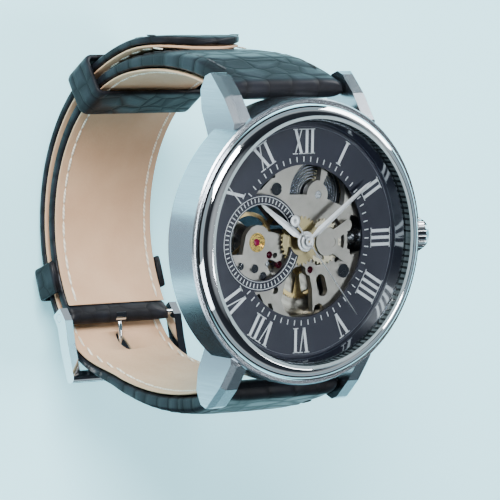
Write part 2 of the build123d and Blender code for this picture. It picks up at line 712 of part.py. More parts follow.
def make_balance_cock():
    part = bar(cock_pillar, (sub_ring_centre, 0), 2.0, bridge_bottom, bridge_top)
    part += disc(1.6, bridge_top, plate_bottom, *cock_pillar)
    part += ring(2.75, 2.35, bridge_top, 3.72, sub_ring_centre, 0) & disc(0.5, bridge_top, 3.72, sub_ring_centre - 2.5, 0.4)
    return part - disc(0.55, 1, 4, sub_ring_centre, 0)


def make_pallet_bridge():
    ends = [(-7.0, -4.1), (-3.9, 0.0)]
    part = bar(ends[0], ends[1], 0.55, 4.45, 4.72)
    for x, y in ends:
        part += disc(0.5, 4.72, plate_bottom, x, y)
    return part - disc(0.14, 4, 5, pallet_x, pallet_y)


def make_bridge_screws():
    """Slotted screws through the bridges' pillars."""
    part = Part()
    for i, (x, y) in enumerate(barrel_pillars + train_pillars + [cock_pillar]):
        head = disc(0.9, bridge_bottom - 0.3, bridge_bottom, x, y)
        part += head - Pos(x, y, bridge_bottom - 0.3) * Rot(0, 0, 25 * i) * Box(2, 0.2, 0.24)
    return part


def make_jewels():
    """Pierced train jewels in the bridges and the mainplate."""
    part = Part()
    for x, y in pivots + [(0, 0), (sub_ring_centre, 0)]:
        part += ring(0.55, 0.19, bridge_bottom, bridge_bottom + 0.4, x, y)
    for x, y in pivots + [(pallet_x, pallet_y)]:
        part += ring(0.55, 0.19, plate_top - 0.5, plate_top - 0.1, x, y)
    return part + ring(0.55, 0.19, plate_bottom, 5.7, sub_ring_centre, 0)


def make_shock_setting():
    """The gilt shock setting with its two-armed spring, round the balance's front jewel."""
    x = sub_ring_centre
    part = ring(1.42, 0.55, 5.6, 6.38, x, 0) - ring(1.15, 0.0, 6.2, 7, x, 0)
    part += ring(1.15, 0.95, 6.2, 6.32, x, 0)
    for turn in (0, 180):
        part += sector(0.95, 0.75, turn + 20, turn + 150, 6.2, 6.32, x, 0)
        part += Pos(x, 0, 6.26) * Rot(0, 0, turn + 80) * Pos(0.98, 0, 0) * Box(0.4, 0.24, 0.12)
    return part


def make_cap_jewel():
    dome = disc(0.5, 5.8, 6.34, sub_ring_centre, 0)
    return fillet(dome.edges().group_by(Axis.Z)[-1], 0.12)


# ---------------------------------------------------------------- strap
def share(value, start, end):
    """A smooth rise from 0 at the start to 1 at the end."""
    t = min(1.0, max(0.0, (value - start) / (end - start)))
    return t * t * (3 - 2 * t)


def between(value, table):
    """Straight-line steps through (value, result) pairs."""
    for (a, p), (b, q) in zip(table, table[1:]):
        if value <= b:
            return p + (q - p) * max(0.0, value - a) / (b - a)
    return table[-1][1]


def strap_rows(end_angle):
    """Rows down one half's inner face: (distance, centre, radius, bearing, own angle)."""
    join = math.radians(loop_join)
    top = (bar_y - strap_eye, bar_level)
    low = (loop_radius * math.cos(join), loop_level - loop_radius * math.sin(join))
    across = (top[0] - low[0], top[1] - low[1])
    inward = (-math.cos(join), math.sin(join))
    radius = (across[0] ** 2 + across[1] ** 2) / (2 * (across[0] * inward[0] + across[1] * inward[1]))
    centre = (low[0] + radius * inward[0], low[1] + radius * inward[1])
    first = math.atan2(top[1] - centre[1], top[0] - centre[0])
    rows = []
    for i in range(7):
        bearing = first + (-join - first) * i / 6
        rows.append((radius * (first - bearing), centre, radius, bearing, 0.0))
    length = rows[-1][0]
    count = math.ceil((end_angle - loop_join) / 8)
    for i in range(1, count + 1):
        angle = loop_join + (end_angle - loop_join) * i / count
        way = length + loop_radius * math.radians(angle - loop_join)
        rows.append((way, (0.0, loop_level), loop_radius, -math.radians(angle), angle))
    return rows


def strap_layer(rows, low, high, side):
    """A solid between two offsets (functions of distance and own angle) over the full width."""
    lines = []
    for offset in (low, high):
        points = []
        for way, centre, radius, bearing, angle in rows:
            r = radius + offset(way, angle)
            points.append((side * (centre[0] + r * math.cos(bearing)), centre[1] + r * math.sin(bearing)))
        lines.append(points)
    near, far = lines
    edges = [Spline(*near), Spline(*far), Line(near[0], far[0]), Line(near[-1], far[-1])]
    face = make_face(edges)
    return extrude(Plane.YZ * face, strap_width / 2, dir=(1, 0, 0), both=True)


def strap_plan():
    """The plan outline that tapers both halves from the lugs down to the loop."""
    wide, narrow = strap_width / 2, strap_end_width / 2
    half = [(wide, 6), (wide, bar_level - 3), (narrow, loop_level - 3), (narrow, loop_level - 40)]
    outline = half + [(-x, z) for x, z in reversed(half)]
    face = make_face(Plane.XZ * Polyline(*outline, close=True))
    return extrude(face, 40, both=True)


def rod(radius, half_length, y, z, bore=0.0):
    """A round bar along X."""
    part = Cylinder(radius, 2 * half_length)
    if bore > 0:
        part -= Cylinder(bore, 2 * half_length + 2)
    return Pos(0, y, z) * Rot(0, 90, 0) * part


def around(radius, angle):
    """The point at that radius and angle (degrees from +Y, downward) on the loop."""
    a = math.radians(angle)
    return radius * math.cos(a), loop_level - radius * math.sin(a)


def upper_thick(way):
    return between(way, [(0, 2 * strap_eye), (8, strap_thick + 0.4), (20, strap_thick), (31, strap_end_thick)])


def lower_thick(way):
    return between(way, [(0, 2 * strap_eye), (8, strap_thick + 0.4), (20, strap_thick), (38, tail_thick)])


def lower_lift(angle):
    """How far the 6 o'clock half stands off the loop: over the other half, then up again at its tip."""
    over = strap_end_thick + strap_play
    return over * share(angle, 15, 47) + tail_lift * share(angle, 152, tail_tip_angle)


buckle_y, buckle_z = around(loop_radius + strap_end_thick / 2, buckle_angle)


def local(t, n):
    """A point at the buckle: t along the loop past the buckle bar, n outward."""
    a = math.radians(buckle_angle)
    along = (-math.sin(a), -math.cos(a))
    out = (math.cos(a), -math.sin(a))
    return buckle_y + t * along[0] + n * out[0], buckle_z + t * along[1] + n * out[1]


def local_box(t_low, t_high, n_low, n_high, half_width):
    """A box square to the buckle's directions."""
    points = [local(t_low, n_low), local(t_high, n_low), local(t_high, n_high), local(t_low, n_high)]
    return extrude(make_face(Plane.YZ * Polyline(*points, close=True)), half_width, dir=(1, 0, 0), both=True)


def make_upper_leather():
    """The 12 o'clock half: padded leather folded round the spring bar and round the buckle bar."""
    rows = strap_rows(buckle_angle)
    part = strap_layer(rows, lambda way, angle: lining_thick, lambda way, angle: upper_thick(way), 1)
    part += rod(strap_eye, strap_width / 2, bar_y, bar_level)
    part += rod(strap_end_thick / 2, strap_end_width / 2, buckle_y, buckle_z)
    part = part & strap_plan()
    part -= rod(bar_radius + fit_gap, 12, bar_y, bar_level)
    part -= rod(buckle_bar_radius + fit_gap, 12, buckle_y, buckle_z)
    return part - local_box(-2.4, 3, -2, 2, 1.3)


def make_upper_lining():
    rows = strap_rows(buckle_angle - 5)
    part = strap_layer(rows, lambda way, angle: 0.0, lambda way, angle: lining_thick, 1) & strap_plan()
    part -= rod(strap_eye, 12, bar_y, bar_level)
    return part - rod(strap_end_thick / 2, 12, buckle_y, buckle_z)


def tail_cuts():
    """The rounded tip, the round holes and the long hole the tongue stands in."""
    half = strap_end_width / 2
    tip_radius = loop_radius + strap_end_thick + strap_play + tail_lift
    tip_z = around(tip_radius, 180 - tail_tip_angle)[1]
    base = tip_z - 7.0
    block = Pos(0, 30, base + 10) * Box(40, 12, 20)
    keep = Pos(0, 30, base) * Rot(90, 0, 0) * extrude(Ellipse(half, 7.0), 10, both=True)
    cuts = block - keep
    tongue_angle = buckle_angle + 9
    for k in range(1, hole_count):
        angle = tongue_angle - math.degrees(hole_pitch / (loop_radius + 3.5)) * k
        y, z = around(loop_radius + 3.5, angle)
        cuts += Pos(0, y, z) * Rot(90 - angle, 0, 0) * Cylinder(hole_radius, 6)
    return cuts + local_box(1.3, 6.4, -1, 6, 1.0)


def make_lower_leather():
    """The 6 o'clock half: under the case, over the buckle, and on over the other half to its loose tip."""
    rows = strap_rows(tail_tip_angle)
    part = strap_layer(
        rows,
        lambda way, angle: lower_lift(angle) + lining_thick,
        lambda way, angle: lower_lift(angle) + lower_thick(way),
        -1,
    )
    part += rod(strap_eye, strap_width / 2, -bar_y, bar_level)
    part = part & strap_plan()
    part -= rod(bar_radius + fit_gap, 12, -bar_y, bar_level)
    return part - tail_cuts()


def make_lower_lining():
    rows = strap_rows(tail_tip_angle)
    part = strap_layer(
        rows,
        lambda way, angle: lower_lift(angle),
        lambda way, angle: lower_lift(angle) + lining_thick,
        -1,
    )
    part = part & strap_plan()
    part -= rod(strap_eye, 12, -bar_y, bar_level)
    return part - tail_cuts()


def loop_band(outer, inner, angle, width, half_width):
    """Part of a wide ring about the loop's centre, at that angle and that width round the loop."""
    band = rod(outer, half_width, 0, loop_level, bore=inner)
    middle = around((outer + inner) / 2, angle)
    return band & (Pos(0, *middle) * Rot(-angle, 0, 0) * Box(3 * half_width, outer - inner + 4, width))


def make_fixed_keeper():
    """The keeper sewn to the 12 o'clock half's edges, arched over the tail."""
    under = loop_radius + strap_end_thick
    roof = under + strap_play + tail_thick + keeper_play
    half = strap_end_width / 2
    part = loop_band(roof + keeper_wall, loop_radius + 0.1, fixed_keeper_angle, 5.0, half + 1.3)
    part -= loop_band(under, loop_radius - 1, fixed_keeper_angle, 9.0, half)
    return part - loop_band(roof, under - 0.1, fixed_keeper_angle, 9.0, half + 0.4)


def make_floating_keeper():
    """The loose keeper round both layers."""
    floor = loop_radius - keeper_play
    roof = loop_radius + strap_end_thick + strap_play + tail_thick + keeper_play
    half = strap_end_width / 2
    part = loop_band(roof + keeper_wall, floor - keeper_wall, keeper_angle, keeper_width, half + 1.3)
    return part - loop_band(roof, floor, keeper_angle, keeper_width + 6, half + 0.4)


def make_buckle_frame():
    """The buckle's bow: two arms from the buckle bar to a round crossbar."""
    cross = local(frame_length, frame_bar_rise)
    inner = strap_end_width / 2 + 0.5
    outer = inner + 1.4
    points = [local(-1.1, -1.1), local(1.2, -1.2), local(4.5, 0.3), local(frame_length, frame_bar_rise - 1.0),
              local(frame_length + 0.9, frame_bar_rise), local(frame_length, frame_bar_rise + 1.0),
              local(4.5, 2.6), local(1.0, 1.2), local(-1.1, 1.1)]
    face = make_face(Plane.YZ * Polyline(*points, close=True))
    arm = Pos(inner, 0, 0) * extrude(face, outer - inner, dir=(1, 0, 0))
    part = rod(frame_bar_radius, outer, *cross) + arm + mirror(arm, Plane.YZ)
    return part - rod(buckle_bar_radius + fit_gap, 14, buckle_y, buckle_z)


def make_buckle_tongue():
    """The tongue: a loop round the buckle bar and a round pin that lies on the crossbar."""
    y, z = buckle_y, buckle_z
    rest = frame_bar_rise + frame_bar_radius + 0.43
    path = Spline(
        *[(0, *local(t, n)) for t, n in ((0.9, 0.3), (2.2, 0.8), (5.2, 3.3), (7.5, rest - 0.1), (10.2, rest))])
    pin = sweep(Plane(path @ 0, z_dir=path % 0) * Circle(0.36), path)
    part = pin + rod(1.15, 0.9, y, z)
    return part - rod(buckle_bar_radius + fit_gap, 2, y, z)


def make_buckle_bar():
    return rod(buckle_bar_radius, strap_end_width / 2 + 1.9, buckle_y, buckle_z)


def make_spring_bar(side):
    part = rod(bar_radius, lug_gap / 2 - 0.1, side * bar_y, bar_level)
    return part + rod(bar_tip_radius, lug_gap / 2 + 1.5, side * bar_y, bar_level)


parts = {
    "case_middle": make_case_middle(),
    "bezel": make_bezel(),
    "crystal": make_crystal(),
    "crystal_gasket": make_gasket(),
    "rehaut": make_rehaut(),
    "case_back": make_case_back(),
    "back_crystal": make_back_crystal(),
    "back_gasket": make_back_gasket(),
    "movement_ring": make_movement_ring(),
    "case_screws": make_case_screws(),
    "crown_tube": make_crown_tube(),
    "dial": make_dial(),
    "mainplate": make_mainplate(),
    "minute_bridge": make_minute_bridge(),
    "barrel_bridge": make_barrel_bridge(),
    "train_bridge": make_train_bridge(),
    "balance_cock": make_balance_cock(),
    "pallet_bridge": make_pallet_bridge(),
    "bridge_screws": make_bridge_screws(),
    "dial_side_screws": make_dial_screws(),
    "shock_setting": make_shock_setting(),
    "cap_jewel": make_cap_jewel(),
    "jewels": make_jewels(),
    "click_spring": make_click_spring(),
    "spring_bar_12": make_spring_bar(1),
    "spring_bar_6": make_spring_bar(-1),
    "crown": make_crown(),
    "winding_stem": make_stem(),
    "crown_gasket": make_crown_gasket(),
    "sliding_clutch": make_clutch(),
    "winding_pinion": make_winding_pinion(),
    "crown_wheel": make_crown_wheel(),
    "ratchet_wheel": make_ratchet_wheel(),
    "barrel_arbor": make_barrel_arbor(),
    "click": make_click(),
    "barrel": make_barrel(),
    "barrel_cover": make_barrel_cover(),
    "mainspring": make_mainspring(),
    "centre_wheel": make_centre_wheel(),
    "cannon_pinion": make_cannon_pinion(),
    "minute_hand": make_minute_hand(),
    "third_wheel": make_third_wheel(),
    "fourth_wheel": make_fourth_wheel(),
    "seconds_hand": make_second_hand(),
    "escape_wheel": make_escape_wheel(),
    "pallet_fork": make_pallet_fork(),
    "balance_wheel": make_balance(),
    "hairspring": make_hairspring(),
    "minute_wheel": make_minute_wheel(),
    "hour_wheel": make_hour_wheel(),
    "hour_hand": make_hour_hand(),
    "strap_12_leather": make_upper_leather(),
    "strap_12_lining": make_upper_lining(),
    "strap_6_leather": make_lower_leather(),
    "strap_6_lining": make_lower_lining(),
    "fixed_keeper": make_fixed_keeper(),
    "floating_keeper": make_floating_keeper(),
    "buckle_frame": make_buckle_frame(),
    "buckle_tongue": make_buckle_tongue(),
    "buckle_bar": make_buckle_bar(),
}

os.makedirs("parts", exist_ok=True)
for name, shape in parts.items():
    export_step(shape, f"parts/{name}.step")
    print(name, round(shape.volume, 3), len(shape.solids()))
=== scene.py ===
import bmesh
import bpy
import math
import numpy as np
from mathutils import Matrix, Vector


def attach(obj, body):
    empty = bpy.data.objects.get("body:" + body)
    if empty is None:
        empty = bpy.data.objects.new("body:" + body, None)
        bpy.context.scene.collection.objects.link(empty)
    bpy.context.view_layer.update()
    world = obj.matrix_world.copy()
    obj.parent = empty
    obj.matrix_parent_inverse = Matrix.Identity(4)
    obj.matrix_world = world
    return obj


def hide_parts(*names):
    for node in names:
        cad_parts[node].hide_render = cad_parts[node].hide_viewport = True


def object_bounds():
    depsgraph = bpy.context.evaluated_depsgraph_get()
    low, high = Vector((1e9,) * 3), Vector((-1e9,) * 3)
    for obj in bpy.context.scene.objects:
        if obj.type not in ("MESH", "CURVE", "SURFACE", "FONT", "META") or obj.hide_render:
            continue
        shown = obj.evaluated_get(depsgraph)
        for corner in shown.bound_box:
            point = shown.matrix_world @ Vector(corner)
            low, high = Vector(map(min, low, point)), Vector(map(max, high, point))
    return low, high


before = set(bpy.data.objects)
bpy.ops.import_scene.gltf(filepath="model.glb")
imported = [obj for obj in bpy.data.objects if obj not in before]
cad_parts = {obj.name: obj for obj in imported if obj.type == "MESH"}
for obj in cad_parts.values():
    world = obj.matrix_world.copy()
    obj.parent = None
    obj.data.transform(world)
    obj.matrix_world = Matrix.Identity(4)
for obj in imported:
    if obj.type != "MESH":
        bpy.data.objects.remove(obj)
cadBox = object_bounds()
mm = 0.001


# A socket that can be used in sums.
class Value:
    def __init__(self, look, socket):
        self.look = look
        self.socket = socket

    def maths(self, operation, first, second=None):
        inputs = {0: first}
        if second is not None:
            inputs[1] = second
        return self.look.node("ShaderNodeMath", {"operation": operation}, inputs)

    def __add__(self, other):
        return self.maths("ADD", self, other)

    def __radd__(self, other):
        return self.maths("ADD", other, self)

    def __sub__(self, other):
        return self.maths("SUBTRACT", self, other)

    def __rsub__(self, other):
        return self.maths("SUBTRACT", other, self)

    def __mul__(self, other):
        return self.maths("MULTIPLY", self, other)

    def __rmul__(self, other):
        return self.maths("MULTIPLY", other, self)

    def __truediv__(self, other):
        return self.maths("DIVIDE", self, other)

    def __pow__(self, power):
        return self.maths("POWER", self, power)

    def sin(self):
        return self.maths("SINE", self)

    def fract(self):
        return self.maths("FRACT", self)

    def absolute(self):
        return self.maths("ABSOLUTE", self)

    def clamp(self):
        return self.maths("MINIMUM", self.maths("MAXIMUM", self, 0.0), 1.0)


# One material: its tree, its Principled shader and the one call that adds a node.
class Look:
    def __init__(self, name):
        self.material = bpy.data.materials.new(name)
        self.material.use_nodes = True
        self.tree = self.material.node_tree
        self.shader = self.tree.nodes["Principled BSDF"]
        self.output = self.tree.nodes["Material Output"]

    def node(self, kind, settings=None, inputs=None, output=0):
        made = self.tree.nodes.new(kind)
        for key, value in (settings or {}).items():
            setattr(made, key, value)
        for key, value in (inputs or {}).items():
            self.put(made.inputs[key], value)
        return Value(self, made.outputs[output])

    def put(self, socket, value):
        if isinstance(value, Value):
            self.tree.links.new(value.socket, socket)
        elif hasattr(socket.default_value, "__len__") and not hasattr(value, "__len__"):
            socket.default_value = [value] * len(socket.default_value)
        elif hasattr(value, "__len__") and len(socket.default_value) == 4 and len(value) == 3:
            socket.default_value = (*value, 1.0)
        else:
            socket.default_value = value

    def set(self, **values):
        for name, value in values.items():
            self.put(self.shader.inputs[name.replace("_", " ")], value)

    def objectPoint(self, scale=(1, 1, 1), turn=(0, 0, 0), centre=(0, 0, 0)):
        point = self.node("ShaderNodeTexCoord", output=3)
        return self.node("ShaderNodeMapping", {"vector_type": "TEXTURE"},
                         {"Vector": point, "Location": centre, "Rotation": turn,
                          "Scale": tuple(1 / s for s in scale)})

    def parts(self, vector):
        split = self.node("ShaderNodeSeparateXYZ", inputs={0: vector}).socket.node
        return [Value(self, split.outputs[i]) for i in range(3)]

    def noise(self, vector, scale, detail=3.0, roughness=0.5):
        return self.node("ShaderNodeTexNoise", {}, {"Vector": vector, "Scale": scale, "Detail": detail,
                                                    "Roughness": roughness})

    def mix(self, factor, first, second):
        made = self.tree.nodes.new("ShaderNodeMix")
        made.data_type = "RGBA"
        self.put(made.inputs[0], factor)
        self.put(made.inputs[6], first)
        self.put(made.inputs[7], second)
        return Value(self, made.outputs[2])

    def bump(self, height, distance, strength=1.0):
        inputs = {"Height": height, "Distance": distance, "Strength": strength}
        normal = self.node("ShaderNodeBump", {}, inputs)
        self.put(self.shader.inputs["Normal"], normal)


# Metals.
def polishedMetal(name, color, rough=0.05, smear=0.03, metallic=1.0):
    look = Look(name)
    fine = look.noise(look.objectPoint(), 900, 2)
    look.set(Base_Color=color, Metallic=metallic, Roughness=rough + smear * fine)
    look.bump(look.noise(look.objectPoint(), 130, 1), 0.00001, 0.12)
    return look.material


# Streaks: noise squeezed along one axis, in colour, roughness and height.
def brushedMetal(name, color, dark, scale, rough=0.3, depth=0.000006):
    look = Look(name)
    streak = look.noise(look.objectPoint(scale), 1.0, 4, 0.6)
    look.set(Base_Color=look.mix(streak, color, dark), Metallic=1.0, Roughness=rough + 0.16 * streak)
    look.bump(streak, depth, 0.5)
    return look.material


# Fine rings about one centre: the radius makes the grain, and a noise by bearing makes the glints.
def turnedMetal(name, color, dark, centre=(0, 0), pitch=0.00012, rough=0.28, depth=0.000004):
    look = Look(name)
    x, y, _ = look.parts(look.objectPoint(centre=(centre[0] * mm, centre[1] * mm, 0)))
    radius = (x * x + y * y) ** 0.5
    rings = look.noise(look.node("ShaderNodeCombineXYZ", {}, {0: radius / pitch, 1: 0.0, 2: 0.0}), 1.0, 3)
    look.set(Base_Color=look.mix(rings, color, dark), Metallic=1.0, Roughness=rough + 0.12 * rings)
    look.bump(rings, depth, 0.5)
    return look.material


# Broad parallel stripes, each grained in shallow arcs.
def stripedMetal(name, color, dark, angle, pitch=0.0011):
    look = Look(name)
    x, y, _ = look.parts(look.objectPoint(turn=(0, 0, math.radians(angle))))
    wave = (x / pitch).fract()
    lift = (wave - 0.5).absolute() * 2.0
    grain = look.noise(look.node("ShaderNodeCombineXYZ", {}, {0: x * 9000.0, 1: y * 900.0, 2: 0.0}), 1.0, 3)
    look.set(Base_Color=look.mix((lift * 0.7 + grain * 0.3).clamp(), color, dark), Metallic=1.0,
             Roughness=0.24 + 0.18 * grain)
    look.bump(lift, 0.00003, 0.5)
    return look.material


# Warm grey nickel: frosted, with small overlapping polished spots.
def grainedPlate(name):
    look = Look(name)
    point = look.objectPoint()
    spots = look.node("ShaderNodeTexVoronoi", {"feature": "F1"}, {"Vector": point, "Scale": 1100.0})
    cloud = look.noise(point, 260, 3)
    look.set(Base_Color=look.mix(cloud, (0.42, 0.395, 0.355), (0.25, 0.235, 0.215)), Metallic=0.9,
             Roughness=0.34 + 0.25 * spots)
    look.bump(spots + cloud, 0.000012, 0.5)
    return look.material


def paintedDial():
    look = Look("dialLacquer")
    cloud = look.noise(look.objectPoint(), 40, 3)
    fine = look.noise(look.objectPoint(), 4000, 2)
    look.set(Base_Color=look.mix(cloud, (0.0075, 0.0085, 0.020), (0.012, 0.013, 0.028)), Metallic=0.25,
             Roughness=0.34 + 0.1 * fine, Coat_Weight=0.25, Coat_Roughness=0.2)
    look.bump(fine, 0.000003, 0.3)
    return look.material


def printInk(name, color):
    look = Look(name)
    fine = look.noise(look.objectPoint(), 2600, 3)
    look.set(Base_Color=look.mix(fine, color, tuple(0.86 * c for c in color)), Metallic=0.35,
             Roughness=0.34 + 0.14 * fine)
    look.bump(fine, 0.000004, 0.4)
    return look.material


# Thin clear glass: mostly see-through, with the surface's own gloss.
def clearGlass(name, tint, alpha):
    look = Look(name)
    smear = look.noise(look.objectPoint(), 90, 2)
    look.set(Base_Color=look.mix(smear, (0.004, 0.005, 0.006), (0.008, 0.010, 0.012)),
             Roughness=0.015 + 0.02 * smear, IOR=1.5)
    clear = look.tree.nodes.new("ShaderNodeBsdfTransparent")
    clear.inputs[0].default_value = (*tint, 1.0)
    mixed = look.tree.nodes.new("ShaderNodeMixShader")
    edge = look.node("ShaderNodeFresnel", {}, {"IOR": 1.38})
    look.put(mixed.inputs[0], (edge * 0.8 + alpha).clamp())
    look.tree.links.new(clear.outputs[0], mixed.inputs[1])
    look.tree.links.new(look.shader.outputs[0], mixed.inputs[2])
    look.tree.links.new(mixed.outputs[0], look.output.inputs[0])
    return look.material


def satinPlastic(name, color, rough=0.45):
    look = Look(name)
    fine = look.noise(look.objectPoint(), 1500, 3)
    look.set(Base_Color=look.mix(fine, color, tuple(0.8 * c for c in color)), Roughness=rough + 0.12 * fine)
    look.bump(fine, 0.000006, 0.3)
    return look.material


def rubyStone(name, light, dark):
    look = Look(name)
    cloud = look.noise(look.objectPoint(), 900, 2)
    look.set(Base_Color=look.mix(cloud, light, dark), Roughness=0.05 + 0.03 * cloud,
             Coat_Weight=0.6)
    return look.material


# Leathers: patterns follow each piece's own UV map, in metres along and across the strap.
# Square scales: a cell pattern stretched across, deep at the joints, with fine pores and creases.
def glossyLeather():
    look = Look("glossyBlackLeather")
    uv = look.node("ShaderNodeUVMap", {"uv_map": "strapWay"})
    u, v, _ = look.parts(uv)
    sway = look.noise(uv, 120, 2) * 0.9
    broad = look.node("ShaderNodeCombineXYZ", {}, {0: u * 330.0 + sway, 1: v * 230.0 + sway, 2: 0.0})
    joints = look.node("ShaderNodeTexVoronoi", {"feature": "DISTANCE_TO_EDGE"},
                       {"Vector": broad, "Scale": 1.0, "Randomness": 0.6})
    flat = (joints * 4.0).clamp()
    wrinkle = look.noise(uv, 2400, 4, 0.6)
    fold = look.noise(uv, 380, 3)
    shade = look.mix((flat * 0.65 + wrinkle * 0.35).clamp(), (0.0035, 0.0035, 0.0045), (0.012, 0.0135, 0.019))
    look.set(Base_Color=shade, Roughness=0.46 - 0.16 * flat + 0.10 * wrinkle, Coat_Weight=0.04 * flat,
             Coat_Roughness=0.16, Specular_IOR_Level=0.13)
    look.bump(flat ** 0.6 + 0.12 * wrinkle + 0.35 * fold, 0.00013, 0.7)
    return look.material


def tanLeather():
    look = Look("tanLining")
    uv = look.node("ShaderNodeUVMap", {"uv_map": "strapWay"})
    pores = look.node("ShaderNodeTexVoronoi", {"feature": "F1"}, {"Vector": uv, "Scale": 2600.0})
    cloud = look.noise(uv, 160, 4)
    shade = look.mix(cloud, (0.40, 0.235, 0.135), (0.56, 0.37, 0.235))
    look.set(Base_Color=shade, Roughness=0.55 + 0.2 * pores)
    look.bump(pores + cloud, 0.00004, 0.5)
    return look.material


def threadLook(name, color):
    look = Look(name)
    x, y, z = look.parts(look.objectPoint())
    twist = ((x + y + z) * 9000.0).sin() * 0.5 + 0.5
    look.set(Base_Color=look.mix(twist, color, tuple(0.6 * c for c in color)), Roughness=0.7 + 0.1 * twist)
    look.bump(twist, 0.00002, 0.6)
    return look.material


polished = polishedMetal("polishedSteel", (0.80, 0.83, 0.86), 0.035)
caseSteel = brushedMetal("caseSteel", (0.50, 0.54, 0.58), (0.30, 0.34, 0.39), (5200, 5200, 160), 0.14)
backSteel = turnedMetal("backSteel", (0.62, 0.64, 0.66), (0.46, 0.48, 0.50))
satinSteel = brushedMetal("satinSteel", (0.60, 0.62, 0.65), (0.42, 0.44, 0.48), (900, 5000, 5000), 0.2)
screwSteel = polishedMetal("screwSteel", (0.72, 0.74, 0.78), 0.08)
plateNickel = grainedPlate("plateNickel")
trainNickel = stripedMetal("trainNickel", (0.62, 0.58, 0.50), (0.40, 0.37, 0.32), 62)
barrelNickel = stripedMetal("barrelNickel", (0.60, 0.57, 0.52), (0.38, 0.36, 0.33), 62)
print("materials ready")


# Meshes from whole arrays.
def buildPiece(name, points, faces, material, body, uv=None, smooth=True):
    mesh = bpy.data.meshes.new(name)
    corners = faces.tolist() if hasattr(faces, "tolist") else faces
    mesh.from_pydata(np.asarray(points, float).tolist(), [], corners)
    if uv is not None:
        layer = mesh.uv_layers.new(name="strapWay")
        order = np.zeros(len(mesh.loops), dtype=np.int32)
        mesh.loops.foreach_get("vertex_index", order)
        layer.data.foreach_set("uv", np.asarray(uv, float)[order].ravel())
    mesh.polygons.foreach_set("use_smooth", np.full(len(mesh.polygons), smooth))
    mesh.update()
    piece = bpy.data.objects.new(name, mesh)
    bpy.context.collection.objects.link(piece)
    piece.data.materials.append(material)
    if body:
        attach(piece, body)
    return piece


# Four-sided faces between neighbouring grid points, numbered row by row.
def gridFaces(rows, columns, wrapRows=False, wrapColumns=False):
    i = np.arange(rows if wrapRows else rows - 1)
    j = np.arange(columns if wrapColumns else columns - 1)
    i, j = np.meshgrid(i, j, indexing="ij")
    nextI, nextJ = (i + 1) % rows, (j + 1) % columns
    return np.stack([i * columns + j, nextI * columns + j, nextI * columns + nextJ, i * columns + nextJ],
                    axis=-1).reshape(-1, 4)


# A closed (radius, height) outline, in millimetres, turned about an axis parallel to Z.
def turnedRing(name, profile, material, body, count=360, arc=None, centre=(0, 0)):
    profile = np.asarray(profile, float)
    start, end = arc or (0.0, 360.0)
    turn = np.radians(np.linspace(start, end, count, endpoint=arc is not None))
    r, h = profile[:, 0][None, :], profile[:, 1][None, :]
    points = np.stack([centre[0] + r * np.cos(turn)[:, None], centre[1] + r * np.sin(turn)[:, None],
                       h + 0 * turn[:, None]], axis=-1)
    columns = len(profile)
    faces = gridFaces(count, columns, arc is None, True).tolist()
    if arc is not None:
        faces.append(list(range(columns)))
        faces.append(list(range((count - 1) * columns, count * columns))[::-1])
    return buildPiece(name, points.reshape(-1, 3) * mm, faces, material, body, smooth=True)


# Turns all faces outward on a closed mesh.
def outwardNormals(piece):
    work = bmesh.new()
    work.from_mesh(piece.data)
    bmesh.ops.recalc_face_normals(work, faces=work.faces)
    work.to_mesh(piece.data)
    work.free()
    piece.data.update()


# Camera: a long lens from above the 9 o'clock side.
view = {"place": (-318.57, 44.23, 415.65), "right": (0.79809, 0.01501, 0.60235),
        "up": (0.04098, 0.99602, -0.07912), "back": (-0.60114, 0.08783, 0.7943), "lens": 256.0}


def addCamera():
    data = bpy.data.cameras.new("portraitLens")
    data.lens = view["lens"]
    data.sensor_width = 36.0
    data.clip_start, data.clip_end = 0.01, 10.0
    camera = bpy.data.objects.new("portraitLens", data)
    bpy.context.collection.objects.link(camera)
    turn = Matrix((view["right"], view["up"], view["back"])).transposed().to_quaternion().to_matrix().to_4x4()
    camera.matrix_world = Matrix.Translation([p * mm for p in view["place"]]) @ turn
    bpy.context.scene.camera = camera


addCamera()


# Dial prints: thin raised ink, worked out from the dial's own sizes.
dialPrint = {"level": 7.4, "ink": 0.03, "tickIn": 11.65, "tickOut": 12.4, "tickWidth": 0.14,
             "numeralIn": 12.75, "numeralOut": 16.45, "stem": 0.46, "hair": 0.15, "serif": 0.13,
             "smallCentre": -7.5, "smallOuter": 6.84, "smallInner": 5.74, "hubClear": 2.45}
ink = printInk("silverInk", (0.74, 0.77, 0.80))
borderInk = printInk("borderInk", (0.16, 0.18, 0.22))


# Flat bars: each row of corners (bar, 4, 2) becomes a thin box on the dial.
def inkBars(name, corners, material):
    corners = np.asarray(corners, float)
    low = np.concatenate([corners, np.full(corners.shape[:2] + (1,), dialPrint["level"])], axis=2)
    high = low + np.array([0, 0, dialPrint["ink"]])
    points = np.concatenate([low, high], axis=1).reshape(-1, 3) * mm
    box = np.array([[3, 2, 1, 0], [4, 5, 6, 7], [0, 1, 5, 4], [1, 2, 6, 5], [2, 3, 7, 6], [3, 0, 4, 7]])
    faces = (box[None] + 8 * np.arange(len(corners))[:, None, None]).reshape(-1, 4)
    piece = buildPiece(name, points, faces, material, "case", smooth=False)
    outwardNormals(piece)
    return piece


# A slanted or upright bar with level ends, as four corners.
def stroke(x0, y0, x1, y1, width):
    half = width / 2
    return [(x0 - half, y0), (x0 + half, y0), (x1 + half, y1), (x1 - half, y1)]


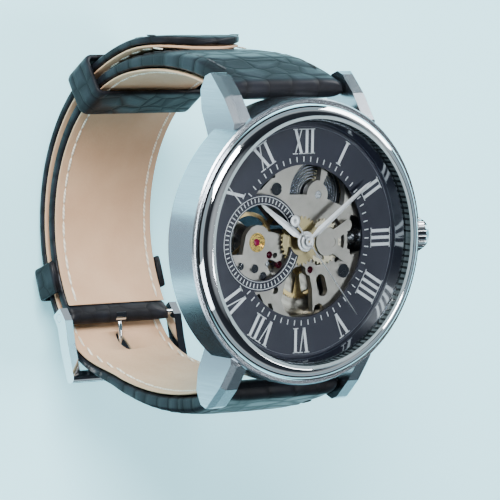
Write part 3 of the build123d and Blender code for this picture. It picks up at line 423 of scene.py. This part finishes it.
# Serifed Roman figures: stems, hairlines and end bars, and the whole word's width.
def numeralStrokes(text, height):
    stem, hair, serif = dialPrint["stem"], dialPrint["hair"], dialPrint["serif"]
    widths = {"I": 1.02, "V": 2.0, "X": 2.05}
    bars, x = [], 0.0
    for letter in text:
        w = widths[letter]
        middle = x + w / 2
        if letter == "I":
            bars.append(stroke(middle, 0, middle, height, stem))
            ends = [(middle, 0), (middle, height)]
        elif letter == "V":
            bars.append(stroke(middle, 0, middle - 0.62, height, stem))
            bars.append(stroke(middle + 0.08, 0, middle + 0.62, height, hair))
            ends = [(middle - 0.62, height), (middle + 0.62, height)]
        else:
            bars.append(stroke(middle + 0.58, 0, middle - 0.58, height, stem))
            bars.append(stroke(middle - 0.58, 0, middle + 0.58, height, hair))
            ends = [(middle + s * 0.58, y) for s in (-1, 1) for y in (0, height)]
        for place, y in ends:
            base = 0 if y == 0 else height - serif
            bars.append([(place - 0.46, base), (place + 0.46, base), (place + 0.46, base + serif),
                         (place - 0.46, base + serif)])
        x += w
    return np.array(bars, float) - np.array([x / 2, 0.0])


# Turns bars whose base faces the centre to that clock angle, at that radius.
def onDial(bars, clock, radius):
    a = math.radians(clock)
    turned = np.empty_like(bars)
    y = bars[..., 1] + radius
    turned[..., 0] = bars[..., 0] * math.cos(a) + y * math.sin(a)
    turned[..., 1] = y * math.cos(a) - bars[..., 0] * math.sin(a)
    return turned


figures = {1: "I", 2: "II", 3: "III", 4: "IIII", 5: "V", 6: "VI", 7: "VII", 8: "VIII",
           10: "X", 11: "XI", 12: "XII"}
tickBar = np.array([stroke(0, 0, 0, dialPrint["tickOut"] - dialPrint["tickIn"], dialPrint["tickWidth"])])
small = dialPrint["smallCentre"]
ticks = np.concatenate([onDial(tickBar, 6 * k, dialPrint["tickIn"]) for k in range(60)])
middleOfTicks = ticks.mean(axis=1)
clearOfSmall = np.hypot(middleOfTicks[:, 0] - small, middleOfTicks[:, 1]) > dialPrint["smallOuter"] + 0.3
inkBars("minuteTicks", ticks[clearOfSmall], ink)
tall = dialPrint["numeralOut"] - dialPrint["numeralIn"]
numerals = np.concatenate([onDial(numeralStrokes(t, tall), 30 * h, dialPrint["numeralIn"])
                           for h, t in figures.items()])
spots = numerals.reshape(-1, 4, 2)
keep = (np.hypot(spots[..., 0] - small, spots[..., 1]) > dialPrint["smallOuter"] + 0.12).all(axis=1)
inkBars("hourFigures", spots[keep], ink)

ladder = np.array([stroke(0, 0, 0, 0.62, 0.13)])
rungs = np.concatenate([onDial(ladder, 6 * k, 5.98) for k in range(60)]) + np.array([small, 0])
clearOfHub = np.hypot(*rungs.mean(axis=1).T) > dialPrint["hubClear"] + 0.1
inkBars("smallRingLadder", rungs[clearOfHub], ink)


# A thin printed circle, or the part of it that stays clear of the hands' hub.
def inkCircle(name, radius, width, material, centre=0.0):
    low, high = dialPrint["level"], dialPrint["level"] + dialPrint["ink"]
    outline = [(radius - width, low), (radius, low), (radius, high), (radius - width, high)]
    arc = None
    if centre:
        near = (radius**2 + centre**2 - dialPrint["hubClear"] ** 2) / (2 * radius * abs(centre))
        gap = math.degrees(math.acos(max(-1.0, min(1.0, near))))
        arc = (gap, 360 - gap) if abs(near) < 1 else None
    piece = turnedRing(name, outline, material, "case", 240, arc, (centre, 0))
    outwardNormals(piece)


inkCircle("smallRingOuterLine", dialPrint["smallOuter"], 0.10, ink, small)
inkCircle("smallRingInnerLine", dialPrint["smallInner"], 0.10, ink, small)
inkCircle("numeralTrackLine", 16.75, 0.05, borderInk)
print("dial prints made")


# Hands with a raised ridge down the middle.
hands = {
    "hourBlade": ("hour_hand", "hours", 304.4, 8.15, 1.5, 0.97,
                  [(-0.9, 0.22), (1.0, 0.24), (2.1, 0.52), (2.6, 0.62), (5.8, 0.47), (9.3, 0.27),
                   (10.1, 0.015)]),
    "minuteBlade": ("minute_hand", "minutes", 54.0, 8.55, 1.12, 0.67,
                    [(-0.7, 0.18), (0.7, 0.2), (2.2, 0.42), (2.6, 0.52), (8.0, 0.39), (13.3, 0.24),
                     (14.4, 0.012)]),
    "secondsNeedle": ("seconds_hand", "seconds", 140.4, 8.9, 0.56, 0.17,
                      [(-3.4, 0.15), (0.0, 0.13), (7.0, 0.09), (13.6, 0.055), (14.4, 0.012)]),
}
handSilver = polishedMetal("handSilver", (0.93, 0.94, 0.96), 0.38, 0.1, 0.5)


# Across the blade the height falls from a ridge to thin edges; along it the half width follows the outline.
def makeHand(name, node, body, clock, level, hub, bore, outline):
    way = np.linspace(outline[0][0], outline[-1][0], 80)
    half = np.interp(way, [p[0] for p in outline], [p[1] for p in outline])
    across = np.array([-1.0, -0.5, 0.0, 0.5, 1.0, 0.5, 0.0, -0.5])
    rise = np.array([0.05, 0.10, 0.15, 0.10, 0.05, 0.0, 0.0, 0.0])
    x = half[:, None] * across[None]
    y = way[:, None] + 0 * x
    z = level + rise[None] + 0 * x
    a = math.radians(clock)
    points = np.stack([x * math.cos(a) + y * math.sin(a), y * math.cos(a) - x * math.sin(a), z], axis=-1)
    faces = gridFaces(len(way), 8, False, True).tolist()
    faces.append(list(range(8)))
    faces.append(list(range((len(way) - 1) * 8, len(way) * 8)))
    blade = buildPiece(name, points.reshape(-1, 3) * mm, faces, handSilver, body, smooth=False)
    outwardNormals(blade)
    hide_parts(node)
    low, high = level - 0.01, level + 0.16
    ring = [(bore, low), (hub, low), (hub, high - 0.05), (hub - 0.06, high), (bore, high)]
    turnedRing(name + "Hub", ring, handSilver, body, 72)


for name, (node, body, clock, level, hub, bore, outline) in hands.items():
    makeHand(name, node, body, clock, level, hub, bore, outline)
tail = math.radians(hands["secondsNeedle"][2])
tailReach = 4.05
turnedRing("secondsCounterweight", [(0.001, 8.9), (0.86, 8.9), (0.88, 8.95), (0.8, 9.03), (0.001, 9.05)],
           handSilver, "seconds", 60, None,
           (-tailReach * math.sin(tail), -tailReach * math.cos(tail)))
print("hands made")


# The strap's path, in millimetres: a join arc from the spring bar, then the loop.
loop = {"radius": 23.5, "level": -20.0, "join": 9.3, "barY": 22.3, "barZ": 1.6, "eye": 1.6,
        "wide": 10.0, "narrow": 9.2, "lining": 0.6, "thick": 3.0, "upperEnd": 2.4, "tail": 2.0,
        "over": 2.85, "lift": 1.1, "buckle": 128.0, "tip": 190.0}


def smoothRise(value, start, end):
    t = np.clip((value - start) / (end - start), 0, 1)
    return t * t * (3 - 2 * t)


# Places, outward directions, distance and own angle down one half's inner face.
def strapPath(endAngle, steps):
    join = math.radians(loop["join"])
    top = np.array([loop["barY"] - loop["eye"], loop["barZ"]])
    low = np.array([loop["radius"] * math.cos(join), loop["level"] - loop["radius"] * math.sin(join)])
    inward = np.array([-math.cos(join), math.sin(join)])
    reach = top - low
    arcRadius = reach @ reach / (2 * reach @ inward)
    arcCentre = low + arcRadius * inward
    first = math.atan2(top[1] - arcCentre[1], top[0] - arcCentre[0])
    joinLength = arcRadius * (first + join)
    total = joinLength + loop["radius"] * math.radians(endAngle - loop["join"])
    way = np.linspace(-loop["eye"], total, steps)
    onJoin = way < joinLength
    bearing = np.where(onJoin, first - np.maximum(way, 0) / arcRadius,
                       -join - (way - joinLength) / loop["radius"])
    radius = np.where(onJoin, arcRadius, loop["radius"])
    cy = np.where(onJoin, arcCentre[0], 0.0)
    cz = np.where(onJoin, arcCentre[1], loop["level"])
    out = np.stack([np.cos(bearing), np.sin(bearing)], axis=1)
    place = np.stack([cy, cz], axis=1) + radius[:, None] * out
    along = np.stack([out[:, 1], -out[:, 0]], axis=1)
    place = place + np.minimum(way, 0)[:, None] * along
    return place, out, way, np.degrees(-bearing)


def strapWidth(place):
    fall = np.clip((loop["barZ"] - 3 - place[:, 1]) / 21.6, 0, 1)
    return loop["wide"] + (loop["narrow"] - loop["wide"]) * fall


# A closed rounded section (superellipse) from low to high offsets, carried down the path.
def loftStrap(name, side, path, low, high, half, material, body, crown=None, corner=0.5, uvShift=0.0):
    place, out, way, _ = path
    turn = np.linspace(0, 2 * np.pi, 56, endpoint=False)
    c, s = np.cos(turn), np.sin(turn)
    across = np.sign(c) * np.abs(c) ** 0.28
    height = np.sign(s) * np.abs(s) ** corner
    x = half[:, None] * across[None]
    swell = (crown if crown is not None else 0 * way)[:, None]
    swell = swell * (1 - np.abs(across[None]) ** 4) * (height > 0)[None]
    level = (low + high)[:, None] / 2 + (high - low)[:, None] / 2 * height[None] + swell
    y = side * (place[:, 0][:, None] + out[:, 0][:, None] * level)
    z = place[:, 1][:, None] + out[:, 1][:, None] * level
    points = np.stack([x, y, z], axis=-1).reshape(-1, 3)
    count = len(turn)
    faces = gridFaces(len(way), count, False, True).tolist()
    ends = [points[:count].mean(axis=0), points[-count:].mean(axis=0)]
    first, last = len(points), len(points) + 1
    base = (len(way) - 1) * count
    faces += [(first, k, (k + 1) % count) for k in range(count)]
    faces += [(last, base + (k + 1) % count, base + k) for k in range(count)]
    uv = np.stack([(way + uvShift)[:, None] + 0 * x, x], axis=-1).reshape(-1, 2)
    uv = np.concatenate([uv, uv[:1], uv[-1:]]) * mm
    piece = buildPiece(name, np.concatenate([points, ends]) * mm, faces, material, body, uv)
    outwardNormals(piece)
    return piece


# Share of the full thickness left by half-round ends.
def roundedEnd(way, start, end, radius):
    head = np.clip((way - start) / radius, 0, 1)
    tailPart = np.clip((end - way) / radius, 0, 1)
    return (np.sqrt(np.clip(1 - (1 - head) ** 2, 0.0004, 1))
            * np.sqrt(np.clip(1 - (1 - tailPart) ** 2, 0.0004, 1)))


black = glossyLeather()
tan = tanLeather()
paleThread = threadLook("paleThread", (0.80, 0.74, 0.62))
darkThread = threadLook("darkThread", (0.045, 0.045, 0.05))
upperPath = strapPath(loop["buckle"] + 2.8, 360)
lowerPath = strapPath(loop["tip"], 520)


def thickUpper(way):
    return np.interp(way, [0, 8, 20, 31],
                     [2 * loop["eye"], loop["thick"] + 0.4, loop["thick"], loop["upperEnd"]])


def thickLower(way):
    return np.interp(way, [0, 8, 20, 38], [2 * loop["eye"], loop["thick"] + 0.4, loop["thick"], loop["tail"]])


def liftLower(angle):
    return loop["over"] * smoothRise(angle, 15, 47) + loop["lift"] * smoothRise(angle, 152, loop["tip"])


def makeUpper():
    place, _, way, angle = upperPath
    full = thickUpper(way)
    rounding = roundedEnd(way, way[0], way[-1], 1.4)
    inner = np.where(way < 1.2, 0.0, loop["lining"]) * smoothRise(way, 0.4, 2.0)
    inner = inner * (1 - smoothRise(angle, loop["buckle"] - 5, loop["buckle"] - 2.5))
    middle = (inner + full) / 2
    pad = 0.35 * smoothRise(way, 3, 9) * (1 - smoothRise(way, 16, 34))
    piece = loftStrap("upperLeather", 1, upperPath, middle - (full - inner) / 2 * rounding,
                      middle + (full - inner) / 2 * rounding, strapWidth(place), black, "strap_12",
                      pad * rounding, 0.42)
    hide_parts("strap_12_leather")


def makeUpperLining():
    path = tuple(part[(upperPath[2] > 1.6) & (upperPath[3] < loop["buckle"] - 3)] for part in upperPath)
    place, _, way, _ = path
    thin = loop["lining"] * roundedEnd(way, way[0], way[-1], 0.5)
    piece = loftStrap("upperLining", 1, path, 0 * way, thin, strapWidth(place) - 0.12, tan, "strap_12",
                      None, 0.6)
    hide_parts("strap_12_lining")


# The tail's plan narrows to its tip as a half ellipse.
def tipShape(way, half):
    left = np.clip((way[-1] - way) / 7.6, 0, 1)
    return half * np.sqrt(np.clip(1 - (1 - left) ** 2, 0.0009, 1))


def makeLower():
    place, _, way, angle = lowerPath
    lift = liftLower(angle)
    inner = np.where(way < 1.2, 0.0, loop["lining"]) * smoothRise(way, 0.4, 2.0)
    full = thickLower(way)
    rounding = roundedEnd(way, way[0], way[-1], 0.9)
    head = np.sqrt(np.clip(1 - (1 - np.clip((way - way[0]) / 1.5, 0, 1)) ** 2, 0.0004, 1))
    rounding = np.minimum(rounding, head)
    middle = (inner + full) / 2
    pad = 0.35 * smoothRise(way, 3, 9) * (1 - smoothRise(way, 16, 30))
    piece = loftStrap("lowerLeather", -1, lowerPath, lift + middle - (full - inner) / 2 * rounding,
                      lift + middle + (full - inner) / 2 * rounding, tipShape(way, strapWidth(place)), black,
                      "strap_6", pad * rounding, 0.42, 90.0)
    punchHoles(piece)
    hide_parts("strap_6_leather")
    path = tuple(part[way > 1.6] for part in lowerPath)
    place, _, way, angle = path
    lift = liftLower(angle)
    thin = loop["lining"] * roundedEnd(way, way[0], way[-1], 0.5)
    piece = loftStrap("lowerLining", -1, path, lift, lift + thin, tipShape(way, strapWidth(place)) - 0.12,
                      tan, "strap_6", None, 0.6, 90.0)
    punchHoles(piece)
    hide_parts("strap_6_lining")


holes = {"first": 137.0, "pitch": 6.5, "count": 7, "radius": 0.9, "stretch": 2.4}


# A short capped tube standing across the tail at that angle; stretch lengthens it round the loop.
def cutterTube(angle, radius, stretch=1.0):
    sides = 28
    turn = np.linspace(0, 2 * np.pi, sides, endpoint=False)
    a = math.radians(angle)
    out = np.array([math.cos(a), -math.sin(a)])
    along = np.array([-math.sin(a), -math.cos(a)])
    far = np.array([20.5, 33.0])
    x = radius * np.cos(turn)
    t = radius * stretch * np.sin(turn)
    rows = []
    for reach in far:
        place = np.array([0.0, loop["level"]]) + reach * out + t[:, None] * along
        rows.append(np.concatenate([x[:, None], place], axis=1))
    faces = gridFaces(2, sides, False, True).tolist()
    faces += [list(range(sides))[::-1], list(range(sides, 2 * sides))]
    return np.concatenate(rows), faces


# Cuts the round holes and the long one that the tongue stands in.
def punchHoles(piece):
    for k in range(holes["count"]):
        angle = holes["first"] + 0.3 - math.degrees(holes["pitch"] / (loop["radius"] + 3.5)) * k
        points, faces = cutterTube(angle, holes["radius"], holes["stretch"] if k == 0 else 1.0)
        tool = buildPiece("punch", points * mm, faces, black, None)
        outwardNormals(tool)
        cut = piece.modifiers.new("punch", "BOOLEAN")
        cut.operation, cut.solver, cut.object = "DIFFERENCE", "EXACT", tool
        shape = bpy.data.meshes.new_from_object(piece.evaluated_get(bpy.context.evaluated_depsgraph_get()))
        piece.modifiers.remove(cut)
        piece.data = shape
        bpy.data.objects.remove(tool)


makeUpper()
makeUpperLining()
makeLower()
print("strap made")


# Short round-ended threads laid along the path, one every pitch.
def stitchRow(path, side, lift, xAt, pitch, span, radius=0.2, long=0.62):
    place, out, way, _ = path
    where = np.arange(span[0], span[1], pitch)
    y, z = np.interp(where, way, place[:, 0]), np.interp(where, way, place[:, 1])
    oy, oz = np.interp(where, way, out[:, 0]), np.interp(where, way, out[:, 1])
    raised = np.interp(where, way, lift)
    edge = np.interp(where, way, xAt)
    u = np.linspace(-1, 1, 7)
    v = np.linspace(0, 2 * np.pi, 6, endpoint=False)
    thick = radius * np.sqrt(np.clip(1 - u**4, 0.02, 1))
    t = (u * long * pitch / 1.24)[:, None] + 0 * v[None]
    a = thick[:, None] * np.cos(v)[None]
    b = thick[:, None] * np.sin(v)[None] * 0.7
    groups, faces = [], []
    single = gridFaces(7, 6, False, True)
    caps = [[5, 4, 3, 2, 1, 0], [36, 37, 38, 39, 40, 41]]
    for sign in (-1, 1):
        x = sign * edge[:, None, None] + a[None]
        level = raised[:, None, None] + b[None]
        py = y[:, None, None] + oy[:, None, None] * level + oz[:, None, None] * t[None]
        pz = z[:, None, None] + oz[:, None, None] * level - oy[:, None, None] * t[None]
        groups.append(np.stack([x, side * py, pz], axis=-1).reshape(-1, 3))
    points = np.concatenate(groups)
    number = 2 * len(where)
    shift = 42 * np.arange(number)
    faces = (single[None] + shift[:, None, None]).reshape(-1, 4).tolist()
    faces += [[c + s for c in cap] for cap in caps for s in shift]
    return points, faces


def addStitches(name, path, side, lift, inset, pitch, span, material, body):
    edge = strapWidth(path[0]) - inset
    points, faces = stitchRow(path, side, lift, edge, pitch, span)
    piece = buildPiece(name, points * mm, faces, material, body)
    outwardNormals(piece)


upperWay, lowerWay = upperPath[2], lowerPath[2]
upperLift, lowerLift = 0 * upperWay, liftLower(lowerPath[3])
stitches = {
    "upperInnerStitches": (upperPath, 1, upperLift, (3.5, 72.0), paleThread, "strap_12"),
    "lowerInnerStitches": (lowerPath, -1, lowerLift, (3.5, 98.0), paleThread, "strap_6"),
    "upperOuterStitches": (upperPath, 1, thickUpper(upperWay), (4.5, 66.0), darkThread, "strap_12"),
    "lowerOuterStitches": (lowerPath, -1, lowerLift + thickLower(lowerWay), (4.5, 98.0), darkThread,
                           "strap_6"),
}
stitchSink, stitchInset, stitchPitch = 0.02, 1.5, 2.6
for name, (path, side, lift, span, thread, body) in stitches.items():
    addStitches(name, path, side, lift - stitchSink, stitchInset, stitchPitch, span, thread, body)
print("stitches made")


# Keepers: a rounded leather band carried round a rounded oblong.
# Across: distance round the loop; the wall's section is a rounded oblong. Along: the outline's points (x,
# radius).
def keeperBand(name, node, body, angle, wide, outline, closed, wall):
    outline = np.asarray(outline, float)
    if closed:
        step = np.roll(outline, -1, axis=0) - np.roll(outline, 1, axis=0)
    else:
        step = np.gradient(outline, axis=0)
    step /= np.linalg.norm(step, axis=1)[:, None]
    normal = np.stack([step[:, 1], -step[:, 0]], axis=1)
    turn = np.linspace(0, 2 * np.pi, 24, endpoint=False)
    c, s = np.cos(turn), np.sin(turn)
    t = wide / 2 * np.sign(c) * np.abs(c) ** 0.25
    n = wall / 2 * np.sign(s) * np.abs(s) ** 0.5
    x = outline[:, 0][:, None] + normal[:, 0][:, None] * n[None]
    r = outline[:, 1][:, None] + normal[:, 1][:, None] * n[None]
    a = math.radians(angle)
    y = r * math.cos(a) - t[None] * math.sin(a)
    z = loop["level"] - r * math.sin(a) - t[None] * math.cos(a)
    points = np.stack([x, y + 0 * r, z + 0 * r], axis=-1).reshape(-1, 3) * mm
    faces = gridFaces(len(outline), 24, closed, True).tolist()
    if not closed:
        faces.append(list(range(24)))
        faces.append(list(range((len(outline) - 1) * 24, len(outline) * 24)))
    length = np.cumsum(np.linalg.norm(np.diff(outline, axis=0, prepend=outline[:1]), axis=1))
    uv = np.stack([t[None] + 0 * r, length[:, None] + 0 * r], axis=-1).reshape(-1, 2) * mm
    piece = buildPiece(name, points, faces, black, body, uv)
    outwardNormals(piece)
    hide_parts(node)


# Points round an oblong in (x, radius), its corners quarter circles.
def roundedOblong(halfX, low, high, corner, closed):
    quarter = np.radians(np.linspace(0, 90, 9))
    places = []
    for cx, cr, start in ((halfX - corner, high - corner, 0), (-halfX + corner, high - corner, 90),
                          (-halfX + corner, low + corner, 180), (halfX - corner, low + corner, 270)):
        turn = quarter + math.radians(start)
        places.append(np.stack([cx + corner * np.cos(turn), cr + corner * np.sin(turn)], axis=1))
    if closed:
        return np.concatenate(places)
    leg = np.linspace(low, high - corner, 8)
    right = np.stack([0 * leg + halfX, leg], axis=1)[:-1]
    left = np.stack([0 * leg - halfX, leg[::-1]], axis=1)[1:]
    return np.concatenate([right, places[0], places[1], left])


roof = loop["radius"] + loop["upperEnd"] + 0.45 + loop["tail"] + 0.4
keeperBand("looseKeeper", "floating_keeper", "loose_keeper", 35.0, 6.0,
           roundedOblong(10.05, loop["radius"] - 0.9, roof + 0.45, 1.0, True), True, 0.85)
keeperBand("sewnKeeper", "fixed_keeper", "strap_12", 112.0, 5.0,
           roundedOblong(10.05, loop["radius"] + 0.4, roof + 0.45, 1.0, False), False, 0.85)
print("keepers made")

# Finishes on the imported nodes.
brass = turnedMetal("giltBrass", (0.83, 0.64, 0.30), (0.62, 0.45, 0.19))
barrelBrass = turnedMetal("barrelBrass", (0.66, 0.58, 0.40), (0.45, 0.39, 0.26), (3.65, 6.6))
springSteel = brushedMetal("springSteel", (0.52, 0.56, 0.64), (0.30, 0.33, 0.40), (800, 800, 6000), 0.16)
glass = clearGlass("sapphireGlass", (0.97, 0.99, 1.0), 0.02)
# Painted shade: the back crystal's dark tint stands in for the shade on the watch's underside, dimming the
# movement seen through it.
shadeTint = clearGlass("shadeTintGlass", (0.16, 0.17, 0.19), 0.02)
finishes = {
    "case_middle": caseSteel, "case_back": backSteel, "bezel": polished, "crown": polished,
    "rehaut": polishedMetal("rehautSteel", (0.62, 0.65, 0.68), 0.09),
    "crystal": glass, "back_crystal": shadeTint,
    "crystal_gasket": satinPlastic("gasketRing", (0.20, 0.26, 0.28), 0.3),
    "back_gasket": satinPlastic("seal", (0.02, 0.02, 0.022)),
    "crown_gasket": satinPlastic("crownSeal", (0.02, 0.02, 0.02)),
    "movement_ring": satinPlastic("casingRing", (0.02, 0.02, 0.024)), "dial": paintedDial(),
    "mainplate": plateNickel, "minute_bridge": plateNickel, "barrel_bridge": barrelNickel,
    "train_bridge": trainNickel, "balance_cock": barrelNickel, "pallet_bridge": plateNickel,
    "centre_wheel": brass, "fourth_wheel": brass,
    "hour_wheel": turnedMetal("hourBrass", (0.50, 0.41, 0.22), (0.30, 0.25, 0.14)),
    "third_wheel": turnedMetal("thirdBrass", (0.83, 0.64, 0.30), (0.62, 0.45, 0.19), (2.35, -4.41)),
    "minute_wheel": turnedMetal("minuteBrass", (0.72, 0.64, 0.48), (0.5, 0.44, 0.3), (4.39, -0.31)),
    "balance_wheel": turnedMetal("balanceGilt", (0.80, 0.60, 0.30), (0.6, 0.42, 0.18), (-7.5, 0)),
    "barrel": barrelBrass, "barrel_cover": barrelBrass, "mainspring": springSteel, "hairspring": springSteel,
    "shock_setting": turnedMetal("giltSetting", (0.92, 0.66, 0.22), (0.75, 0.48, 0.12), (-7.5, 0),
                                 rough=0.16),
    "cap_jewel": rubyStone("capRuby", (0.30, 0.008, 0.05), (0.14, 0.0, 0.02)),
    "jewels": rubyStone("trainRuby", (0.07, 0.003, 0.014), (0.025, 0.0, 0.004)),
    "ratchet_wheel": turnedMetal("ratchetSteel", (0.66, 0.68, 0.70), (0.45, 0.47, 0.5), (3.65, 6.6)),
    "crown_wheel": turnedMetal("crownWheelSteel", (0.66, 0.68, 0.70), (0.45, 0.47, 0.5), (9.085, 0)),
    "bridge_screws": screwSteel, "dial_side_screws": screwSteel, "case_screws": screwSteel,
    "buckle_frame": polished, "buckle_tongue": polished, "buckle_bar": polished,
}
for node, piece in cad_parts.items():
    material = finishes.get(node, satinSteel)
    for slot in piece.material_slots:
        slot.material = material
print("finishes set")


# Floor, sky and lamps.
def paleFloor():
    level = cadBox[0][2] - 0.0006
    i = np.linspace(-1.6, 1.6, 3)
    x, y = np.meshgrid(i, i, indexing="ij")
    points = np.stack([x, y, 0 * x + level], axis=-1).reshape(-1, 3)
    look = Look("paleFloor")
    cloud = look.noise(look.objectPoint(), 8, 2)
    look.set(Base_Color=look.mix(cloud, (0.46, 0.88, 1.0), (0.50, 0.91, 1.0)), Roughness=0.75 + 0.05 * cloud,
             Emission_Color=(0.36, 0.88, 1.0), Emission_Strength=0.62)
    floor = buildPiece("paleFloor", points, gridFaces(3, 3), look.material, None, smooth=False)


# A pale sky with a dark band low down, which gives polished steel its contrast.
def studioSky():
    world = bpy.data.worlds.new("studio")
    bpy.context.scene.world = world
    world.use_nodes = True
    tree = world.node_tree
    shader = tree.nodes["Background"]
    point = tree.nodes.new("ShaderNodeTexCoord")
    split = tree.nodes.new("ShaderNodeSeparateXYZ")
    ramp = tree.nodes.new("ShaderNodeValToRGB")
    tree.links.new(point.outputs["Generated"], split.inputs[0])
    tree.links.new(split.outputs[2], ramp.inputs[0])
    tree.links.new(ramp.outputs[0], shader.inputs[0])
    stops = [(0.0, (0.20, 0.25, 0.28)), (0.05, (0.006, 0.007, 0.009)), (0.16, (0.012, 0.014, 0.018)),
             (0.22, (0.80, 0.92, 1.0)), (0.42, (0.45, 0.68, 0.80)), (0.50, (0.90, 0.97, 1.0)),
             (0.62, (0.05, 0.06, 0.075)), (0.90, (0.03, 0.035, 0.045)), (1.0, (0.80, 0.84, 0.88))]
    while len(ramp.color_ramp.elements) < len(stops):
        ramp.color_ramp.elements.new(0.5)
    for element, (place, color) in zip(ramp.color_ramp.elements, stops):
        element.position = place
        element.color = (*color, 1.0)
    shader.inputs[1].default_value = 0.6


# A dark card that only shows in polished metal.
def flag(name, corners, color):
    look = Look(name)
    look.set(Base_Color=color, Roughness=0.9)
    card = buildPiece(name, np.array(corners, float) * mm, [[0, 1, 2, 3]], look.material, None,
                      smooth=False)
    card.visible_camera = card.visible_diffuse = card.visible_shadow = card.visible_transmission = False


def softLamp(name, place, target, size, power, color):
    data = bpy.data.lights.new(name, "AREA")
    data.shape, data.size, data.size_y = "RECTANGLE", size[0] * mm, size[1] * mm
    data.energy, data.color = power, color
    lamp = bpy.data.objects.new(name, data)
    bpy.context.collection.objects.link(lamp)
    start, end = Vector(place) * mm, Vector(target) * mm
    turn = (end - start).to_track_quat("-Z", "Y").to_matrix().to_4x4()
    lamp.matrix_world = Matrix.Translation(start) @ turn


paleFloor()
studioSky()
ground = cadBox[0][2] / mm + 0.4
dark = (0.004, 0.004, 0.005)
flag("nearFlag", [(-260, -190, ground), (-60, -190, ground), (-60, -45, ground), (-260, -45, ground)], dark)
flag("sideFlag", [(70, -200, ground), (170, -200, ground), (170, 160, ground), (70, 160, ground)], dark)
flag("backFlag", [(-150, 60, ground), (60, 60, ground), (60, 110, ground), (-150, 110, ground)], dark)
flag("wallFlag", [(-84, -28, ground), (-44, -28, ground), (-44, 16, ground), (-84, 16, ground)],
     (0.22, 0.27, 0.32))
flag("lowFlag", [(-60, -86, ground), (20, -86, ground), (20, -40, ground), (-60, -40, ground)], dark)
softLamp("keyLamp", (-300, 420, 420), (0, 0, 0), (380, 300), 12.0, (1.0, 0.99, 0.97))
softLamp("fillLamp", (-420, -260, 200), (0, 0, -10), (300, 260), 1.2, (0.86, 0.95, 1.0))
softLamp("topLamp", (180, -60, 560), (0, 0, 0), (160, 160), 2.2, (0.95, 0.98, 1.0))
softLamp("rimLamp", (360, 220, 90), (0, 0, 0), (240, 200), 1.6, (1.0, 1.0, 1.0))

print("scene ready")
